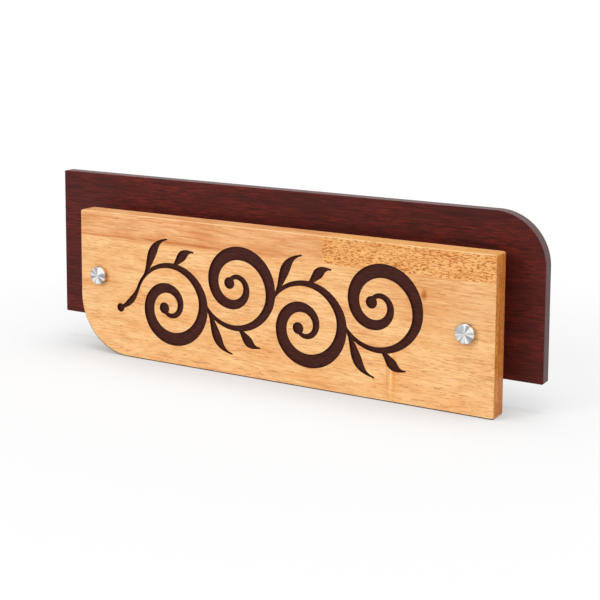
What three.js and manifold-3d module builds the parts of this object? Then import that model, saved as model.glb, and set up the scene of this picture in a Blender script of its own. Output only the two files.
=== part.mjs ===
// A wall name plate in two layers. A laminated back plate lies on the wall. In front of it, on two round
// standoffs, stands a board glued up from light wood staves, with a scroll ornament routed into its face.
//
// Millimetres. The origin is the middle of the back plate's rear face, on the wall.
// +X is to the right seen from the front, +Y into the wall and +Z up.
import * as THREE from 'three';
import { mergeVertices } from 'three/addons/utils/BufferGeometryUtils.js';
import Module from 'manifold-3d';

// Back plate: a core board with a laminate on both sides and one round corner, at the upper right
const PLATE_WIDTH = 457.2;
const PLATE_HEIGHT = 129;
const CORE_THICKNESS = 9;
const FACE_LAMINATE = 1;
const REAR_LAMINATE = 1;
const PLATE_ROUND_CORNER = 41;
const PLATE_SMALL_CORNER = 1;

// Front board: solid wood with one round corner, at the lower left, and its edges measured from the plate's
const BOARD_FROM_PLATE_LEFT = 42.4;
const BOARD_FROM_PLATE_RIGHT = 26.8;
const BOARD_FROM_PLATE_TOP = 27.9;
const BOARD_BELOW_PLATE = 23.4;
const BOARD_THICKNESS = 18;
const BOARD_ROUND_CORNER = 50;
const BOARD_SMALL_CORNER = 1.6;
const BOARD_ARRIS = 0.9;

// Staves of the front board, in three rows, and the finger joints that lengthen two of the rows
const TOP_ROW = 21.75;
const BOTTOM_ROW = 47.75;
const TOP_FINGERS_FROM_RIGHT = 143;
const BOTTOM_FINGERS_FROM_RIGHT = 84;
const FINGER_LENGTH = 6.5;
const FINGER_TIP = 0.6;
const FINGERS = 3;
const SHOULDER_UNDER_POCKET = 0.8;

// Standoffs, each a screwed-on cap, a barrel between the boards and soft washers at every face
const CAP_DIAMETER = 15.5;
const CAP_THICKNESS = 3.2;
const CAP_CHAMFER = 0.6;
const BARREL_DIAMETER = 15.5;
const BARREL_LENGTH = 10.4;
const WASHER_DIAMETER = 13;
const WASHER_THICKNESS = 0.8;
const THREAD_DIAMETER = 6;
const CAP_THREAD_GRIP = 5;
const STUD_TO_SCREW = 1.2;
const SMALL_CHAMFER = 0.5;
const LEFT_CAP_FROM_LEFT = 20.6;
const LEFT_CAP_UP = 68.6;
const RIGHT_CAP_FROM_RIGHT = 23.2;
const RIGHT_CAP_UP = 63.1;

// Countersunk screw through the back plate into each barrel
const SCREW_HEAD_DIAMETER = 11.3;
const SCREW_HEAD_RIM = 0.4;
const SCREW_HEAD_BELOW_FACE = 0.2;
const RECESS_SPAN = 5.6;
const RECESS_SLOT = 1.2;
const RECESS_DEPTH = 2;

// Clearances
const THREAD_CLEARANCE = 0.1;
const HOLE_CLEARANCE = 0.3;
const COUNTERSINK_CLEARANCE = 0.15;

// Scroll ornament: the depth of its pocket in the face, and the room it leaves around it
const POCKET_DEPTH = 1.8;
const ORNAMENT_FROM_CAP = 7;
const ORNAMENT_FROM_EDGE = 8;

// Scroll ornament as drawn, before it is fitted to its room: the bays of its vine
const BAYS = 4;
const BAY_PITCH = 68;
const BAY_LIFT = 13;
const CURL_SWEEP = 540;
const CURL_EASE = 1.25;
const EYE_RADIUS = 6;
const EYE_BALL_RADIUS = 5;
const TAIL_SWEEP = 46;
const TAIL_BALL_RADIUS = 3.8;

// Scroll ornament as drawn: its strokes, which swell and thin as a brush's do
const VINE_START_WIDTH = 2.8;
const VINE_FULL_WIDTH = 11.4;
const VINE_END_WIDTH = 3.4;
const VINE_FULLEST_AT = 0.34;
const TAIL_WIDTH = 5.6;
const LEAF_WIDTH = 8.6;
const LEAF_TIP_WIDTH = 1.2;

// Leaves of each bay: where they leave the vine, in degrees round the bay, their direction there, and
// the place of their tip beside and beyond the vine's crown, with their direction there
const LEAVES = [
  { root: 138, setsOff: 62, tipAside: -3, tipBeyond: 23, ends: 12 },
  { root: 84, setsOff: 40, tipAside: 25, tipBeyond: 14, ends: -8 },
];
const LEAF_BEND = 0.4;

// Fineness of the round forms
const ROUND_STEPS = 40;
const CORNER_STEP = 3.6;
const LEAST_CORNER_STEPS = 3;
const BALL_STEPS = 18;
const CURL_STEP_DEGREES = 10;
const LEAF_STEPS = 10;
const STROKE_END_STEPS = 6;
const ARRIS_STEPS = 2;
const CUT_MARGIN = 2;
const MERGE_DISTANCE = 1e-4;

// Sizes that follow from the ones above
const PLATE_THICKNESS = FACE_LAMINATE + CORE_THICKNESS + REAR_LAMINATE;
const BOARDS_APART = BARREL_LENGTH + 2 * WASHER_THICKNESS;
const BOARD_REAR_Y = -PLATE_THICKNESS - BOARDS_APART;
const BOARD_WIDTH = PLATE_WIDTH - BOARD_FROM_PLATE_LEFT - BOARD_FROM_PLATE_RIGHT;
const BOARD_HEIGHT = PLATE_HEIGHT - BOARD_FROM_PLATE_TOP + BOARD_BELOW_PLATE;
const BOARD_LEFT_X = BOARD_FROM_PLATE_LEFT - PLATE_WIDTH / 2;
const BOARD_FOOT_Z = -PLATE_HEIGHT / 2 - BOARD_BELOW_PLATE;
const TOP_ROW_FOOT = BOARD_HEIGHT - TOP_ROW;
const TOP_FINGERS_FROM_LEFT = BOARD_WIDTH - TOP_FINGERS_FROM_RIGHT;
const BOTTOM_FINGERS_FROM_LEFT = BOARD_WIDTH - BOTTOM_FINGERS_FROM_RIGHT;
const FINGER_SHOULDER = POCKET_DEPTH + SHOULDER_UNDER_POCKET;
const STUD_RADIUS = THREAD_DIAMETER / 2;
const THREAD_BORE_RADIUS = STUD_RADIUS + THREAD_CLEARANCE;
const HOLE_RADIUS = STUD_RADIUS + HOLE_CLEARANCE;
const STUD_LENGTH = 2 * WASHER_THICKNESS + BOARD_THICKNESS + CAP_THREAD_GRIP;
const SCREW_THREAD_GRIP = BARREL_LENGTH - CAP_THREAD_GRIP - STUD_TO_SCREW;
const SCREW_LENGTH = PLATE_THICKNESS - SCREW_HEAD_BELOW_FACE + WASHER_THICKNESS + SCREW_THREAD_GRIP;
const RIGHT_CAP_FROM_LEFT = BOARD_WIDTH - RIGHT_CAP_FROM_RIGHT;
const BAY_RADIUS = Math.hypot(BAY_PITCH / 2, BAY_LIFT);
const BAY_LEAN = THREE.MathUtils.radToDeg(Math.atan2(BAY_LIFT, BAY_PITCH / 2));
const BAY_CENTRE = new THREE.Vector2(0, -BAY_LIFT);

const wasm = await Module();
wasm.setup();

// Solids for cutting and joining

// A shape drawn in width and height, laid upright: its depth runs towards the front, along -Y.
const UPRIGHT = new THREE.Matrix4().set(1, 0, 0, 0, 0, 0, -1, 0, 0, 1, 0, 0, 0, 0, 0, 1);

function solidOf(geometry) {
  geometry.deleteAttribute('normal');
  geometry.deleteAttribute('uv');
  const merged = mergeVertices(geometry, MERGE_DISTANCE);
  const corners = merged.index.array;
  const kept = [];
  for (let i = 0; i < corners.length; i += 3) {
    const [a, b, c] = [corners[i], corners[i + 1], corners[i + 2]];
    if (a !== b && b !== c && c !== a) {
      kept.push(a, b, c);
    }
  }
  return new wasm.Manifold(new wasm.Mesh({
    numProp: 3,
    vertProperties: new Float32Array(merged.attributes.position.array),
    triVerts: new Uint32Array(kept),
  }));
}

function geometryOf(solid) {
  const mesh = solid.getMesh();
  const geometry = new THREE.BufferGeometry();
  geometry.setAttribute('position', new THREE.BufferAttribute(mesh.vertProperties, 3));
  geometry.setIndex(new THREE.BufferAttribute(mesh.triVerts, 1));
  geometry.computeVertexNormals();
  return geometry;
}

// A turned piece from its profile, in pairs of radius and place along the axis, spun about Y.
function turned(profile) {
  const points = profile.map(([radius, y]) => new THREE.Vector2(radius, y));
  return solidOf(new THREE.LatheGeometry(points, ROUND_STEPS));
}

function uprightSolid(points, depth, arris = 0) {
  const geometry = new THREE.ExtrudeGeometry(new THREE.Shape(points), {
    depth: depth - 2 * arris,
    bevelEnabled: arris > 0,
    bevelThickness: arris,
    bevelSize: arris,
    bevelOffset: -arris,
    bevelSegments: ARRIS_STEPS,
  });
  geometry.translate(0, 0, arris);
  geometry.applyMatrix4(UPRIGHT);
  return solidOf(geometry);
}

// Outlines

function heading(degrees) {
  const angle = THREE.MathUtils.degToRad(degrees);
  return new THREE.Vector2(Math.cos(angle), Math.sin(angle));
}

function quarterRound(centre, radius, fromDegrees) {
  const steps = Math.max(LEAST_CORNER_STEPS, Math.ceil((radius * Math.PI) / 2 / CORNER_STEP));
  const points = [];
  for (let i = 0; i <= steps; i += 1) {
    points.push(centre.clone().addScaledVector(heading(fromDegrees + (90 * i) / steps), radius));
  }
  return points;
}

// A rectangle from (0, 0) with its corners rounded.
function roundedRectangle(width, height, corners) {
  const { lowerLeft, lowerRight, upperRight, upperLeft } = corners;
  const at = (x, z) => new THREE.Vector2(x, z);
  return [
    ...quarterRound(at(lowerLeft, lowerLeft), lowerLeft, 180),
    ...quarterRound(at(width - lowerRight, lowerRight), lowerRight, 270),
    ...quarterRound(at(width - upperRight, height - upperRight), upperRight, 0),
    ...quarterRound(at(upperLeft, height - upperLeft), upperLeft, 90),
  ];
}

// Scroll ornament: a running vine whose bays curl in turn below and above its middle line

function headingAt(points, i) {
  const before = points[Math.max(i - 1, 0)];
  const after = points[Math.min(i + 1, points.length - 1)];
  return after.clone().sub(before).normalize();
}

// The outline of a brush stroke along a path: it swells from its start to its fullest and thins to its end.
function strokeOutline(path, startWidth, fullWidth, endWidth, fullestAt) {
  const left = [];
  const right = [];
  path.forEach((point, i) => {
    const along = i / (path.length - 1);
    const rising = along < fullestAt;
    const share = rising ? along / fullestAt : (1 - along) / (1 - fullestAt);
    const thin = rising ? startWidth : endWidth;
    const half = (thin + (fullWidth - thin) * THREE.MathUtils.smoothstep(share, 0, 1)) / 2;
    const aside = headingAt(path, i);
    aside.set(-aside.y, aside.x);
    left.push(point.clone().addScaledVector(aside, half));
    right.push(point.clone().addScaledVector(aside, -half));
  });
  const last = path.length - 1;
  const tip = roundEnd(path[last], headingAt(path, last), endWidth / 2);
  const root = roundEnd(path[0], headingAt(path, 0).negate(), startWidth / 2);
  return [...right, ...tip, ...left.reverse(), ...root];
}

// The half circle that closes a stroke, beyond its last point.
function roundEnd(point, towards, radius) {
  const from = THREE.MathUtils.radToDeg(towards.angle()) - 90;
  const points = [];
  for (let i = 1; i < STROKE_END_STEPS; i += 1) {
    points.push(point.clone().addScaledVector(heading(from + (180 * i) / STROKE_END_STEPS), radius));
  }
  return points;
}

function ballOutline(centre, radius) {
  const points = [];
  for (let i = 0; i < BALL_STEPS; i += 1) {
    points.push(centre.clone().addScaledVector(heading((360 * i) / BALL_STEPS), radius));
  }
  return points;
}

// A path round a bay's centre, in degrees, that winds inwards, ever faster, past its round sweep.
function bayPath(entry, roundSweep, curlSweep) {
  const points = [];
  const whole = roundSweep + curlSweep;
  const steps = Math.round(Math.abs(whole) / CURL_STEP_DEGREES);
  for (let i = 0; i <= steps; i += 1) {
    const sweep = (whole * i) / steps;
    const curled = curlSweep === 0 ? 0 : Math.max(0, (sweep - roundSweep) / curlSweep);
    const radius = BAY_RADIUS * (EYE_RADIUS / BAY_RADIUS) ** (curled ** CURL_EASE);
    points.push(BAY_CENTRE.clone().addScaledVector(heading(entry + sweep), radius));
  }
  return points;
}

function leafOutline(leaf) {
  const root = BAY_CENTRE.clone().addScaledVector(heading(leaf.root), BAY_RADIUS);
  const tip = new THREE.Vector2(leaf.tipAside, BAY_CENTRE.y + BAY_RADIUS + leaf.tipBeyond);
  const reach = root.distanceTo(tip) * LEAF_BEND;
  const bend = new THREE.CubicBezierCurve(
    root,
    root.clone().addScaledVector(heading(leaf.setsOff), reach),
    tip.clone().addScaledVector(heading(leaf.ends), -reach),
    tip,
  );
  return strokeOutline(bend.getPoints(LEAF_STEPS), VINE_START_WIDTH, LEAF_WIDTH, LEAF_TIP_WIDTH, 0.5);
}

// The bay that hangs below the middle line, with the vine running over its top from left to right.
function bayOutlines() {
  const path = bayPath(180 - BAY_LEAN, 2 * BAY_LEAN - 180, -CURL_SWEEP);
  return [
    strokeOutline(path, VINE_START_WIDTH, VINE_FULL_WIDTH, VINE_END_WIDTH, VINE_FULLEST_AT),
    ballOutline(path[path.length - 1], EYE_BALL_RADIUS),
    ...LEAVES.map(leafOutline),
  ];
}

// The short end of the vine before its first bay, starting from a ball.
function tailOutlines() {
  const path = bayPath(BAY_LEAN + TAIL_SWEEP, -TAIL_SWEEP, 0);
  return [
    strokeOutline(path, VINE_START_WIDTH, TAIL_WIDTH, VINE_START_WIDTH, 0.5),
    ballOutline(path[0], TAIL_BALL_RADIUS),
  ];
}

function ornamentOutlines() {
  const outlines = [];
  const place = (outline, x, side) => {
    const placed = outline.map((p) => new THREE.Vector2(x + p.x, side * p.y));
    outlines.push(side < 0 ? placed.reverse() : placed);
  };
  for (let bay = -1; bay < BAYS; bay += 1) {
    const parts = bay < 0 ? tailOutlines() : bayOutlines();
    const side = bay % 2 === 0 ? 1 : -1;
    const x = (bay - (BAYS - 1) / 2) * BAY_PITCH;
    parts.forEach((outline) => place(outline, x, side));
  }
  return outlines;
}

// The ornament's pocket, fitted into the room between the caps and between the board's edges.
function ornamentPocket() {
  const across = RIGHT_CAP_FROM_LEFT - LEFT_CAP_FROM_LEFT - CAP_DIAMETER - 2 * ORNAMENT_FROM_CAP;
  const drawnAcross = (BAYS + 1) * BAY_PITCH - BAY_LIFT;
  const drawnUp = 2 * (BAY_LIFT + BAY_RADIUS) + VINE_FULL_WIDTH;
  const size = Math.min(across / drawnAcross, (BOARD_HEIGHT - 2 * ORNAMENT_FROM_EDGE) / drawnUp);
  const middle = new THREE.Vector2((LEFT_CAP_FROM_LEFT + RIGHT_CAP_FROM_LEFT) / 2, BOARD_HEIGHT / 2);
  const strokes = ornamentOutlines().map((outline) => {
    const placed = outline.map((p) => p.clone().multiplyScalar(size).add(middle));
    return uprightSolid(placed, POCKET_DEPTH + CUT_MARGIN);
  });
  const pocket = strokes.reduce((whole, stroke) => whole.add(stroke));
  return pocket.translate([0, POCKET_DEPTH - BOARD_THICKNESS, 0]);
}

// Front board, in its own frame: origin at its lower left rear corner, before the corners are rounded

function studHole(fromLeft, up) {
  const length = BOARD_THICKNESS + 2 * CUT_MARGIN;
  const hole = solidOf(new THREE.CylinderGeometry(HOLE_RADIUS, HOLE_RADIUS, length, ROUND_STEPS));
  return hole.translate([fromLeft, -BOARD_THICKNESS / 2, up]);
}

// The zigzag of a finger joint through the board, from behind it to in front of it. At either face a
// straight shoulder reaches deeper than the ornament's pocket.
function fingerLine(fromLeft) {
  const near = fromLeft - FINGER_LENGTH / 2;
  const far = fromLeft + FINGER_LENGTH / 2;
  const pitch = (BOARD_THICKNESS - 2 * FINGER_SHOULDER) / FINGERS;
  const points = [[near, CUT_MARGIN]];
  for (let i = 0; i < FINGERS; i += 1) {
    const start = -FINGER_SHOULDER - i * pitch;
    points.push([near, start - FINGER_TIP / 2]);
    points.push([far, start - pitch / 2 + FINGER_TIP / 2]);
    points.push([far, start - pitch / 2 - FINGER_TIP / 2]);
    points.push([near, start - pitch + FINGER_TIP / 2]);
  }
  points.push([near, -BOARD_THICKNESS - CUT_MARGIN]);
  return points.map(([x, y]) => new THREE.Vector2(x, y));
}

// The room that one stave takes: a flat end or a finger joint on each side, between two glue lines.
function staveRoom(leftFingers, rightFingers, foot, head) {
  const flat = (x) => [CUT_MARGIN, -BOARD_THICKNESS - CUT_MARGIN].map((y) => new THREE.Vector2(x, y));
  const left = leftFingers === null ? flat(-CUT_MARGIN) : fingerLine(leftFingers);
  const right = rightFingers === null ? flat(BOARD_WIDTH + CUT_MARGIN) : fingerLine(rightFingers);
  const plan = new THREE.Shape([...left, ...right.reverse()]);
  const room = new THREE.ExtrudeGeometry(plan, { depth: head - foot, bevelEnabled: false });
  room.translate(0, 0, foot);
  return solidOf(room);
}

function boardSolid() {
  const outline = roundedRectangle(BOARD_WIDTH, BOARD_HEIGHT, {
    lowerLeft: BOARD_ROUND_CORNER,
    lowerRight: BOARD_SMALL_CORNER,
    upperRight: BOARD_SMALL_CORNER,
    upperLeft: BOARD_SMALL_CORNER,
  });
  return uprightSolid(outline, BOARD_THICKNESS, BOARD_ARRIS)
    .subtract(studHole(LEFT_CAP_FROM_LEFT, LEFT_CAP_UP))
    .subtract(studHole(RIGHT_CAP_FROM_LEFT, RIGHT_CAP_UP))
    .subtract(ornamentPocket());
}

// Back plate, in its own frame: origin at its lower left rear corner

function screwPath(fromLeft, up) {
  const headRadius = SCREW_HEAD_DIAMETER / 2 + COUNTERSINK_CLEARANCE;
  const rimDepth = SCREW_HEAD_BELOW_FACE + SCREW_HEAD_RIM;
  const path = turned([
    [0, -PLATE_THICKNESS - CUT_MARGIN],
    [HOLE_RADIUS, -PLATE_THICKNESS - CUT_MARGIN],
    [HOLE_RADIUS, -rimDepth - (headRadius - HOLE_RADIUS)],
    [headRadius, -rimDepth],
    [headRadius, CUT_MARGIN],
    [0, CUT_MARGIN],
  ]);
  return path.translate([fromLeft, 0, up]);
}

function plateLayer(rearY, thickness) {
  const outline = roundedRectangle(PLATE_WIDTH, PLATE_HEIGHT, {
    lowerLeft: PLATE_SMALL_CORNER,
    lowerRight: PLATE_SMALL_CORNER,
    upperRight: PLATE_ROUND_CORNER,
    upperLeft: PLATE_SMALL_CORNER,
  });
  return uprightSolid(outline, thickness)
    .translate([0, rearY, 0])
    .subtract(screwPath(BOARD_FROM_PLATE_LEFT + LEFT_CAP_FROM_LEFT, LEFT_CAP_UP - BOARD_BELOW_PLATE))
    .subtract(screwPath(BOARD_FROM_PLATE_LEFT + RIGHT_CAP_FROM_LEFT, RIGHT_CAP_UP - BOARD_BELOW_PLATE));
}

// Standoff pieces, each on its own axis

// Origin on the cap's underside; the head stands towards the front and the stud runs to the rear.
function capSolid() {
  const radius = CAP_DIAMETER / 2;
  return turned([
    [0, -CAP_THICKNESS],
    [radius - CAP_CHAMFER, -CAP_THICKNESS],
    [radius, CAP_CHAMFER - CAP_THICKNESS],
    [radius, 0],
    [STUD_RADIUS, 0],
    [STUD_RADIUS, STUD_LENGTH - SMALL_CHAMFER],
    [STUD_RADIUS - SMALL_CHAMFER, STUD_LENGTH],
    [0, STUD_LENGTH],
  ]);
}

function washerSolid() {
  return turned([
    [HOLE_RADIUS, -WASHER_THICKNESS],
    [WASHER_DIAMETER / 2, -WASHER_THICKNESS],
    [WASHER_DIAMETER / 2, 0],
    [HOLE_RADIUS, 0],
    [HOLE_RADIUS, -WASHER_THICKNESS],
  ]);
}

// Origin on the barrel's rear face.
function barrelSolid() {
  const radius = BARREL_DIAMETER / 2;
  return turned([
    [THREAD_BORE_RADIUS + SMALL_CHAMFER, -BARREL_LENGTH],
    [radius - SMALL_CHAMFER, -BARREL_LENGTH],
    [radius, SMALL_CHAMFER - BARREL_LENGTH],
    [radius, -SMALL_CHAMFER],
    [radius - SMALL_CHAMFER, 0],
    [THREAD_BORE_RADIUS + SMALL_CHAMFER, 0],
    [THREAD_BORE_RADIUS, -SMALL_CHAMFER],
    [THREAD_BORE_RADIUS, SMALL_CHAMFER - BARREL_LENGTH],
    [THREAD_BORE_RADIUS + SMALL_CHAMFER, -BARREL_LENGTH],
  ]);
}

// Origin in the middle of the head's flat face, with the thread running towards the front.
function screwSolid() {
  const headRadius = SCREW_HEAD_DIAMETER / 2;
  const shank = turned([
    [0, -SCREW_LENGTH],
    [STUD_RADIUS - SMALL_CHAMFER, -SCREW_LENGTH],
    [STUD_RADIUS, SMALL_CHAMFER - SCREW_LENGTH],
    [STUD_RADIUS, -SCREW_HEAD_RIM - (headRadius - STUD_RADIUS)],
    [headRadius, -SCREW_HEAD_RIM],
    [headRadius, 0],
    [0, 0],
  ]);
  const arm = solidOf(new THREE.BoxGeometry(RECESS_SPAN, 2 * RECESS_DEPTH, RECESS_SLOT));
  const upArm = solidOf(new THREE.BoxGeometry(RECESS_SLOT, 2 * RECESS_DEPTH, RECESS_SPAN));
  return shank.subtract(arm).subtract(upArm);
}

// Finishes

function finish(color, roughness, metalness = 0) {
  return new THREE.MeshStandardMaterial({ color, roughness, metalness });
}

const ROSEWOOD_LAMINATE = finish('#5a2823', 0.4);
const CORE_BOARD = finish('#6f5f63', 0.8);
const REAR_SHEET = finish('#4a3534', 0.55);
const PLAIN_STAVE = finish('#f0b878', 0.5);
const ROSY_STAVE = finish('#e6a76c', 0.5);
const SPECKLED_STAVE = finish('#eab16b', 0.5);
const TURNED_STEEL = finish('#c9cacb', 0.28, 1);
const ZINC_STEEL = finish('#9a9c9f', 0.4, 1);
const CLEAR_NYLON = finish('#e7e4da', 0.5);

// Assembly

function named(name, solid, material) {
  const mesh = new THREE.Mesh(geometryOf(solid), material);
  mesh.name = name;
  return mesh;
}

function backPlate() {
  const group = new THREE.Group();
  group.position.set(-PLATE_WIDTH / 2, 0, -PLATE_HEIGHT / 2);
  const coreRear = -REAR_LAMINATE;
  group.add(
    named('back_rear_laminate', plateLayer(0, REAR_LAMINATE), REAR_SHEET),
    named('back_core', plateLayer(coreRear, CORE_THICKNESS), CORE_BOARD),
    named('back_face_laminate', plateLayer(coreRear - CORE_THICKNESS, FACE_LAMINATE), ROSEWOOD_LAMINATE),
  );
  return group;
}

function frontBoard() {
  const group = new THREE.Group();
  group.position.set(BOARD_LEFT_X, BOARD_REAR_Y, BOARD_FOOT_Z);
  const board = boardSolid();
  const below = -CUT_MARGIN;
  const above = BOARD_HEIGHT + CUT_MARGIN;
  const stave = (name, left, right, foot, head, material) => {
    group.add(named(name, board.intersect(staveRoom(left, right, foot, head)), material));
  };
  stave('stave_top_left', null, TOP_FINGERS_FROM_LEFT, TOP_ROW_FOOT, above, ROSY_STAVE);
  stave('stave_top_right', TOP_FINGERS_FROM_LEFT, null, TOP_ROW_FOOT, above, SPECKLED_STAVE);
  stave('stave_middle', null, null, BOTTOM_ROW, TOP_ROW_FOOT, PLAIN_STAVE);
  stave('stave_bottom_left', null, BOTTOM_FINGERS_FROM_LEFT, below, BOTTOM_ROW, PLAIN_STAVE);
  stave('stave_bottom_right', BOTTOM_FINGERS_FROM_LEFT, null, below, BOTTOM_ROW, ROSY_STAVE);
  return group;
}

// One standoff, stacked along its axis from the wall to the front.
function standoff(side, fromLeft, up) {
  const group = new THREE.Group();
  group.position.set(BOARD_LEFT_X + fromLeft, 0, BOARD_FOOT_Z + up);
  const place = (name, solid, y, material) => {
    const mesh = named(`${side}_${name}`, solid, material);
    mesh.position.y = y;
    group.add(mesh);
  };
  const plateFront = -PLATE_THICKNESS;
  const barrelRear = plateFront - WASHER_THICKNESS;
  const barrelFront = barrelRear - BARREL_LENGTH;
  const boardFront = BOARD_REAR_Y - BOARD_THICKNESS;
  place('screw', screwSolid(), -SCREW_HEAD_BELOW_FACE, ZINC_STEEL);
  place('plate_washer', washerSolid(), plateFront, CLEAR_NYLON);
  place('barrel', barrelSolid(), barrelRear, TURNED_STEEL);
  place('board_washer', washerSolid(), barrelFront, CLEAR_NYLON);
  place('cap_washer', washerSolid(), boardFront, CLEAR_NYLON);
  place('cap', capSolid(), boardFront - WASHER_THICKNESS, TURNED_STEEL);
  return group;
}

const namePlate = new THREE.Group();
namePlate.name = 'name_plate';
namePlate.add(
  backPlate(),
  frontBoard(),
  standoff('left', LEFT_CAP_FROM_LEFT, LEFT_CAP_UP),
  standoff('right', RIGHT_CAP_FROM_LEFT, RIGHT_CAP_UP),
);

export default namePlate;
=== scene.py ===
# Dresses a wall name plate in two layers: a board glued up from light wood staves, with a painted scroll
# routed into its face, on two turned steel standoffs in front of a laminated back plate. It is laid out as
# an add-on: sizes and colours are properties, and each piece or group of like pieces is an operator.
import math
from functools import partial

import bmesh
import bpy
from bpy.props import FloatProperty, FloatVectorProperty, IntProperty, PointerProperty
from mathutils import Matrix, Vector
from mathutils.geometry import interpolate_bezier


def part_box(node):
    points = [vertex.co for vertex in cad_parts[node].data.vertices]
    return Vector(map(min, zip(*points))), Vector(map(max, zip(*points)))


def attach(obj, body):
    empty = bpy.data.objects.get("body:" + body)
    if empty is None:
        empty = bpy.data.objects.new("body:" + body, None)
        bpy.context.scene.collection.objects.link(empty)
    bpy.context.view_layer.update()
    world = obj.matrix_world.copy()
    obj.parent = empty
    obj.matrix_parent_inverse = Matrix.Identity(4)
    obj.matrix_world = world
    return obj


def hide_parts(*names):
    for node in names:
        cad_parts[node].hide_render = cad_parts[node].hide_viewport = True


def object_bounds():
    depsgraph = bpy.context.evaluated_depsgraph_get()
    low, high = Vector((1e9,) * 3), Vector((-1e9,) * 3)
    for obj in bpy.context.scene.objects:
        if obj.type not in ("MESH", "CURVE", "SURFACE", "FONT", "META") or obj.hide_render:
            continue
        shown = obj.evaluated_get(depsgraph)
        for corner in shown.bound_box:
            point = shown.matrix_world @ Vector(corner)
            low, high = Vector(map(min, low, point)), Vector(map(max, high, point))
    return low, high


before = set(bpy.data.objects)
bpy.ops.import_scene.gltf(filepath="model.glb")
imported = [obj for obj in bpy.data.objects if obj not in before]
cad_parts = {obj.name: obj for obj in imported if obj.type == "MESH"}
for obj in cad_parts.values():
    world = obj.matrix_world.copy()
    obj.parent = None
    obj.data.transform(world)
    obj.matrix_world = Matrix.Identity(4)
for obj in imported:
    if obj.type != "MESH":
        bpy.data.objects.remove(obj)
CAD_BOX = [list(corner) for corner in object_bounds()]

bl_info = {
    "name": "Name Plate in Two Layers",
    "version": (1, 0, 0),
    "blender": (4, 5, 0),
    "location": "3D View > Sidebar > Name Plate",
    "description": "Makes a wall name plate with a scroll-cut board on steel standoffs",
    "category": "Add Mesh",
}

MM = 0.001
STAVES = ("stave_top_left", "stave_top_right", "stave_middle", "stave_bottom_left", "stave_bottom_right")
SIDES = ("left", "right")
SQUARE = ((-1, -1), (1, -1), (1, 1), (-1, 1))

# How finely round forms are cut, as numbers of steps or degrees between steps
ROUND_STEPS = 96
CORNER_STEPS = 40
SMALL_CORNER_STEPS = 8
ARRIS_STEPS = 5
CHAMFER_STEPS = 1
CURL_STEP_DEGREES = 4
LEAF_STEPS = 26
STROKE_END_STEPS = 14
BALL_STEPS = 56
STEPS_PER_THREAD = 8

# In millimetres: the board's face, how deep a mark in the wood reaches, and the least size at which a mark
# lies under the fibres and not over them
BOARD_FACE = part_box("stave_middle")[0].y / MM
MARK_DEPTH = 60
BROAD_MARK = 28

# The caps' places are divided by this many millimetres, so that the sectors of painted reflection differ
# from cap to cap
SECTOR_DRAW = 23

# How far a cutter stands past what it cuts, and the distance within which two points are one
CUT_MARGIN = 2 * MM
MERGE_DISTANCE = 0.002 * MM
SHARP_EDGE = math.radians(34)
FLAT_FACE = 0.99999


# Sizes and colours

def linear(hex_colour):
    """The linear colour of an sRGB hex value."""
    channels = [int(hex_colour[i:i + 2], 16) / 255 for i in (1, 3, 5)]
    return tuple(c / 12.92 if c <= 0.04045 else ((c + 0.055) / 1.055) ** 2.4 for c in channels)


def length(name, description, millimetres):
    """A property for a size, given in millimetres and held in metres."""
    return FloatProperty(
        name=name, description=description, default=millimetres * MM, unit="LENGTH", precision=5,
    )


def colour(name, description, hex_colour):
    """A property for a colour, given as an sRGB hex value."""
    return FloatVectorProperty(
        name=name, description=description, default=linear(hex_colour), subtype="COLOR", min=0, max=1,
    )


def angle(name, description, degrees):
    """A property for an angle, given in degrees."""
    return FloatProperty(name=name, description=description, default=math.radians(degrees), subtype="ANGLE")


def location(name, description, metres):
    """A property for a place, given in metres."""
    return FloatVectorProperty(name=name, description=description, default=metres, subtype="TRANSLATION")


def number(name, description, value, lowest=0.0):
    """A property for a plain number."""
    return FloatProperty(name=name, description=description, default=value, min=lowest)


def count(name, description, value):
    """A property for a number of like things, of which there is at least one."""
    return IntProperty(name=name, description=description, default=value, min=1)


class BoardSettings(bpy.types.PropertyGroup):
    """Sizes and colours of the front board."""
    round_corner: length("Round corner", "Radius of the board's lower left corner", 50)
    small_corner: length("Small corner", "Radius of the other corners", 1.6)
    arris: length("Arris", "Radius of the eased edges", 0.9)
    fingers: count("Fingers", "Fingers across the board's thickness", 3)
    finger_tip: length("Finger tip", "Width of a finger's flat tip", 0.6)
    finger_shoulder: length("Finger shoulder", "Depth of the straight shoulder at either face", 2.6)
    stud_hole: length("Stud hole", "Diameter of the holes for the studs", 6.6)
    plain: colour("Plain stave", "Lightest tone of the plain staves", "#fdcc8e")
    plain_deep: colour("Plain stave, deep", "Deeper tone of the plain staves", "#efac67")
    rosy: colour("Rosy stave", "Lightest tone of the rosy stave", "#f4b77c")
    rosy_deep: colour("Rosy stave, deep", "Deeper tone of the rosy stave", "#db8f51")
    speckled: colour("Speckled stave", "Lightest tone of the speckled stave", "#fbbe74")
    speckled_deep: colour("Speckled stave, deep", "Deeper tone of the speckled stave", "#f2ae62")
    streak: colour("Streak", "Colour of the reddish streaks", "#d0763a")
    # Also laid as the painted shadow round the caps
    pore_and_shadow: colour("Pore", "Colour of the open pores", "#bc6418")
    glue: colour("Glue line", "Colour of the light lines at the lower finger joint", "#ffdca0")
    glue_stain: colour("Glue stain", "Wood that the glue of that joint has soaked", "#eea04c")
    # Painted highlight on the upper and upright arrises
    wear_and_highlight: colour("Worn arris", "Thin lacquer along the upper and upright arrises", "#ffdfaa")
    # Painted contact shade: the dark line along the arrises that stand on the floor
    foot: colour("Foot", "Stain along the arrises that stand on the floor", "#2e1b12")
    end_grain: colour("End grain", "Lighter tone of the end grain under lacquer", "#f6a452")
    # Also laid as painted shade towards the rear of the end grain
    end_grain_deep: colour("End grain, deep", "Deeper tone of the end grain", "#c26824")


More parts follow.
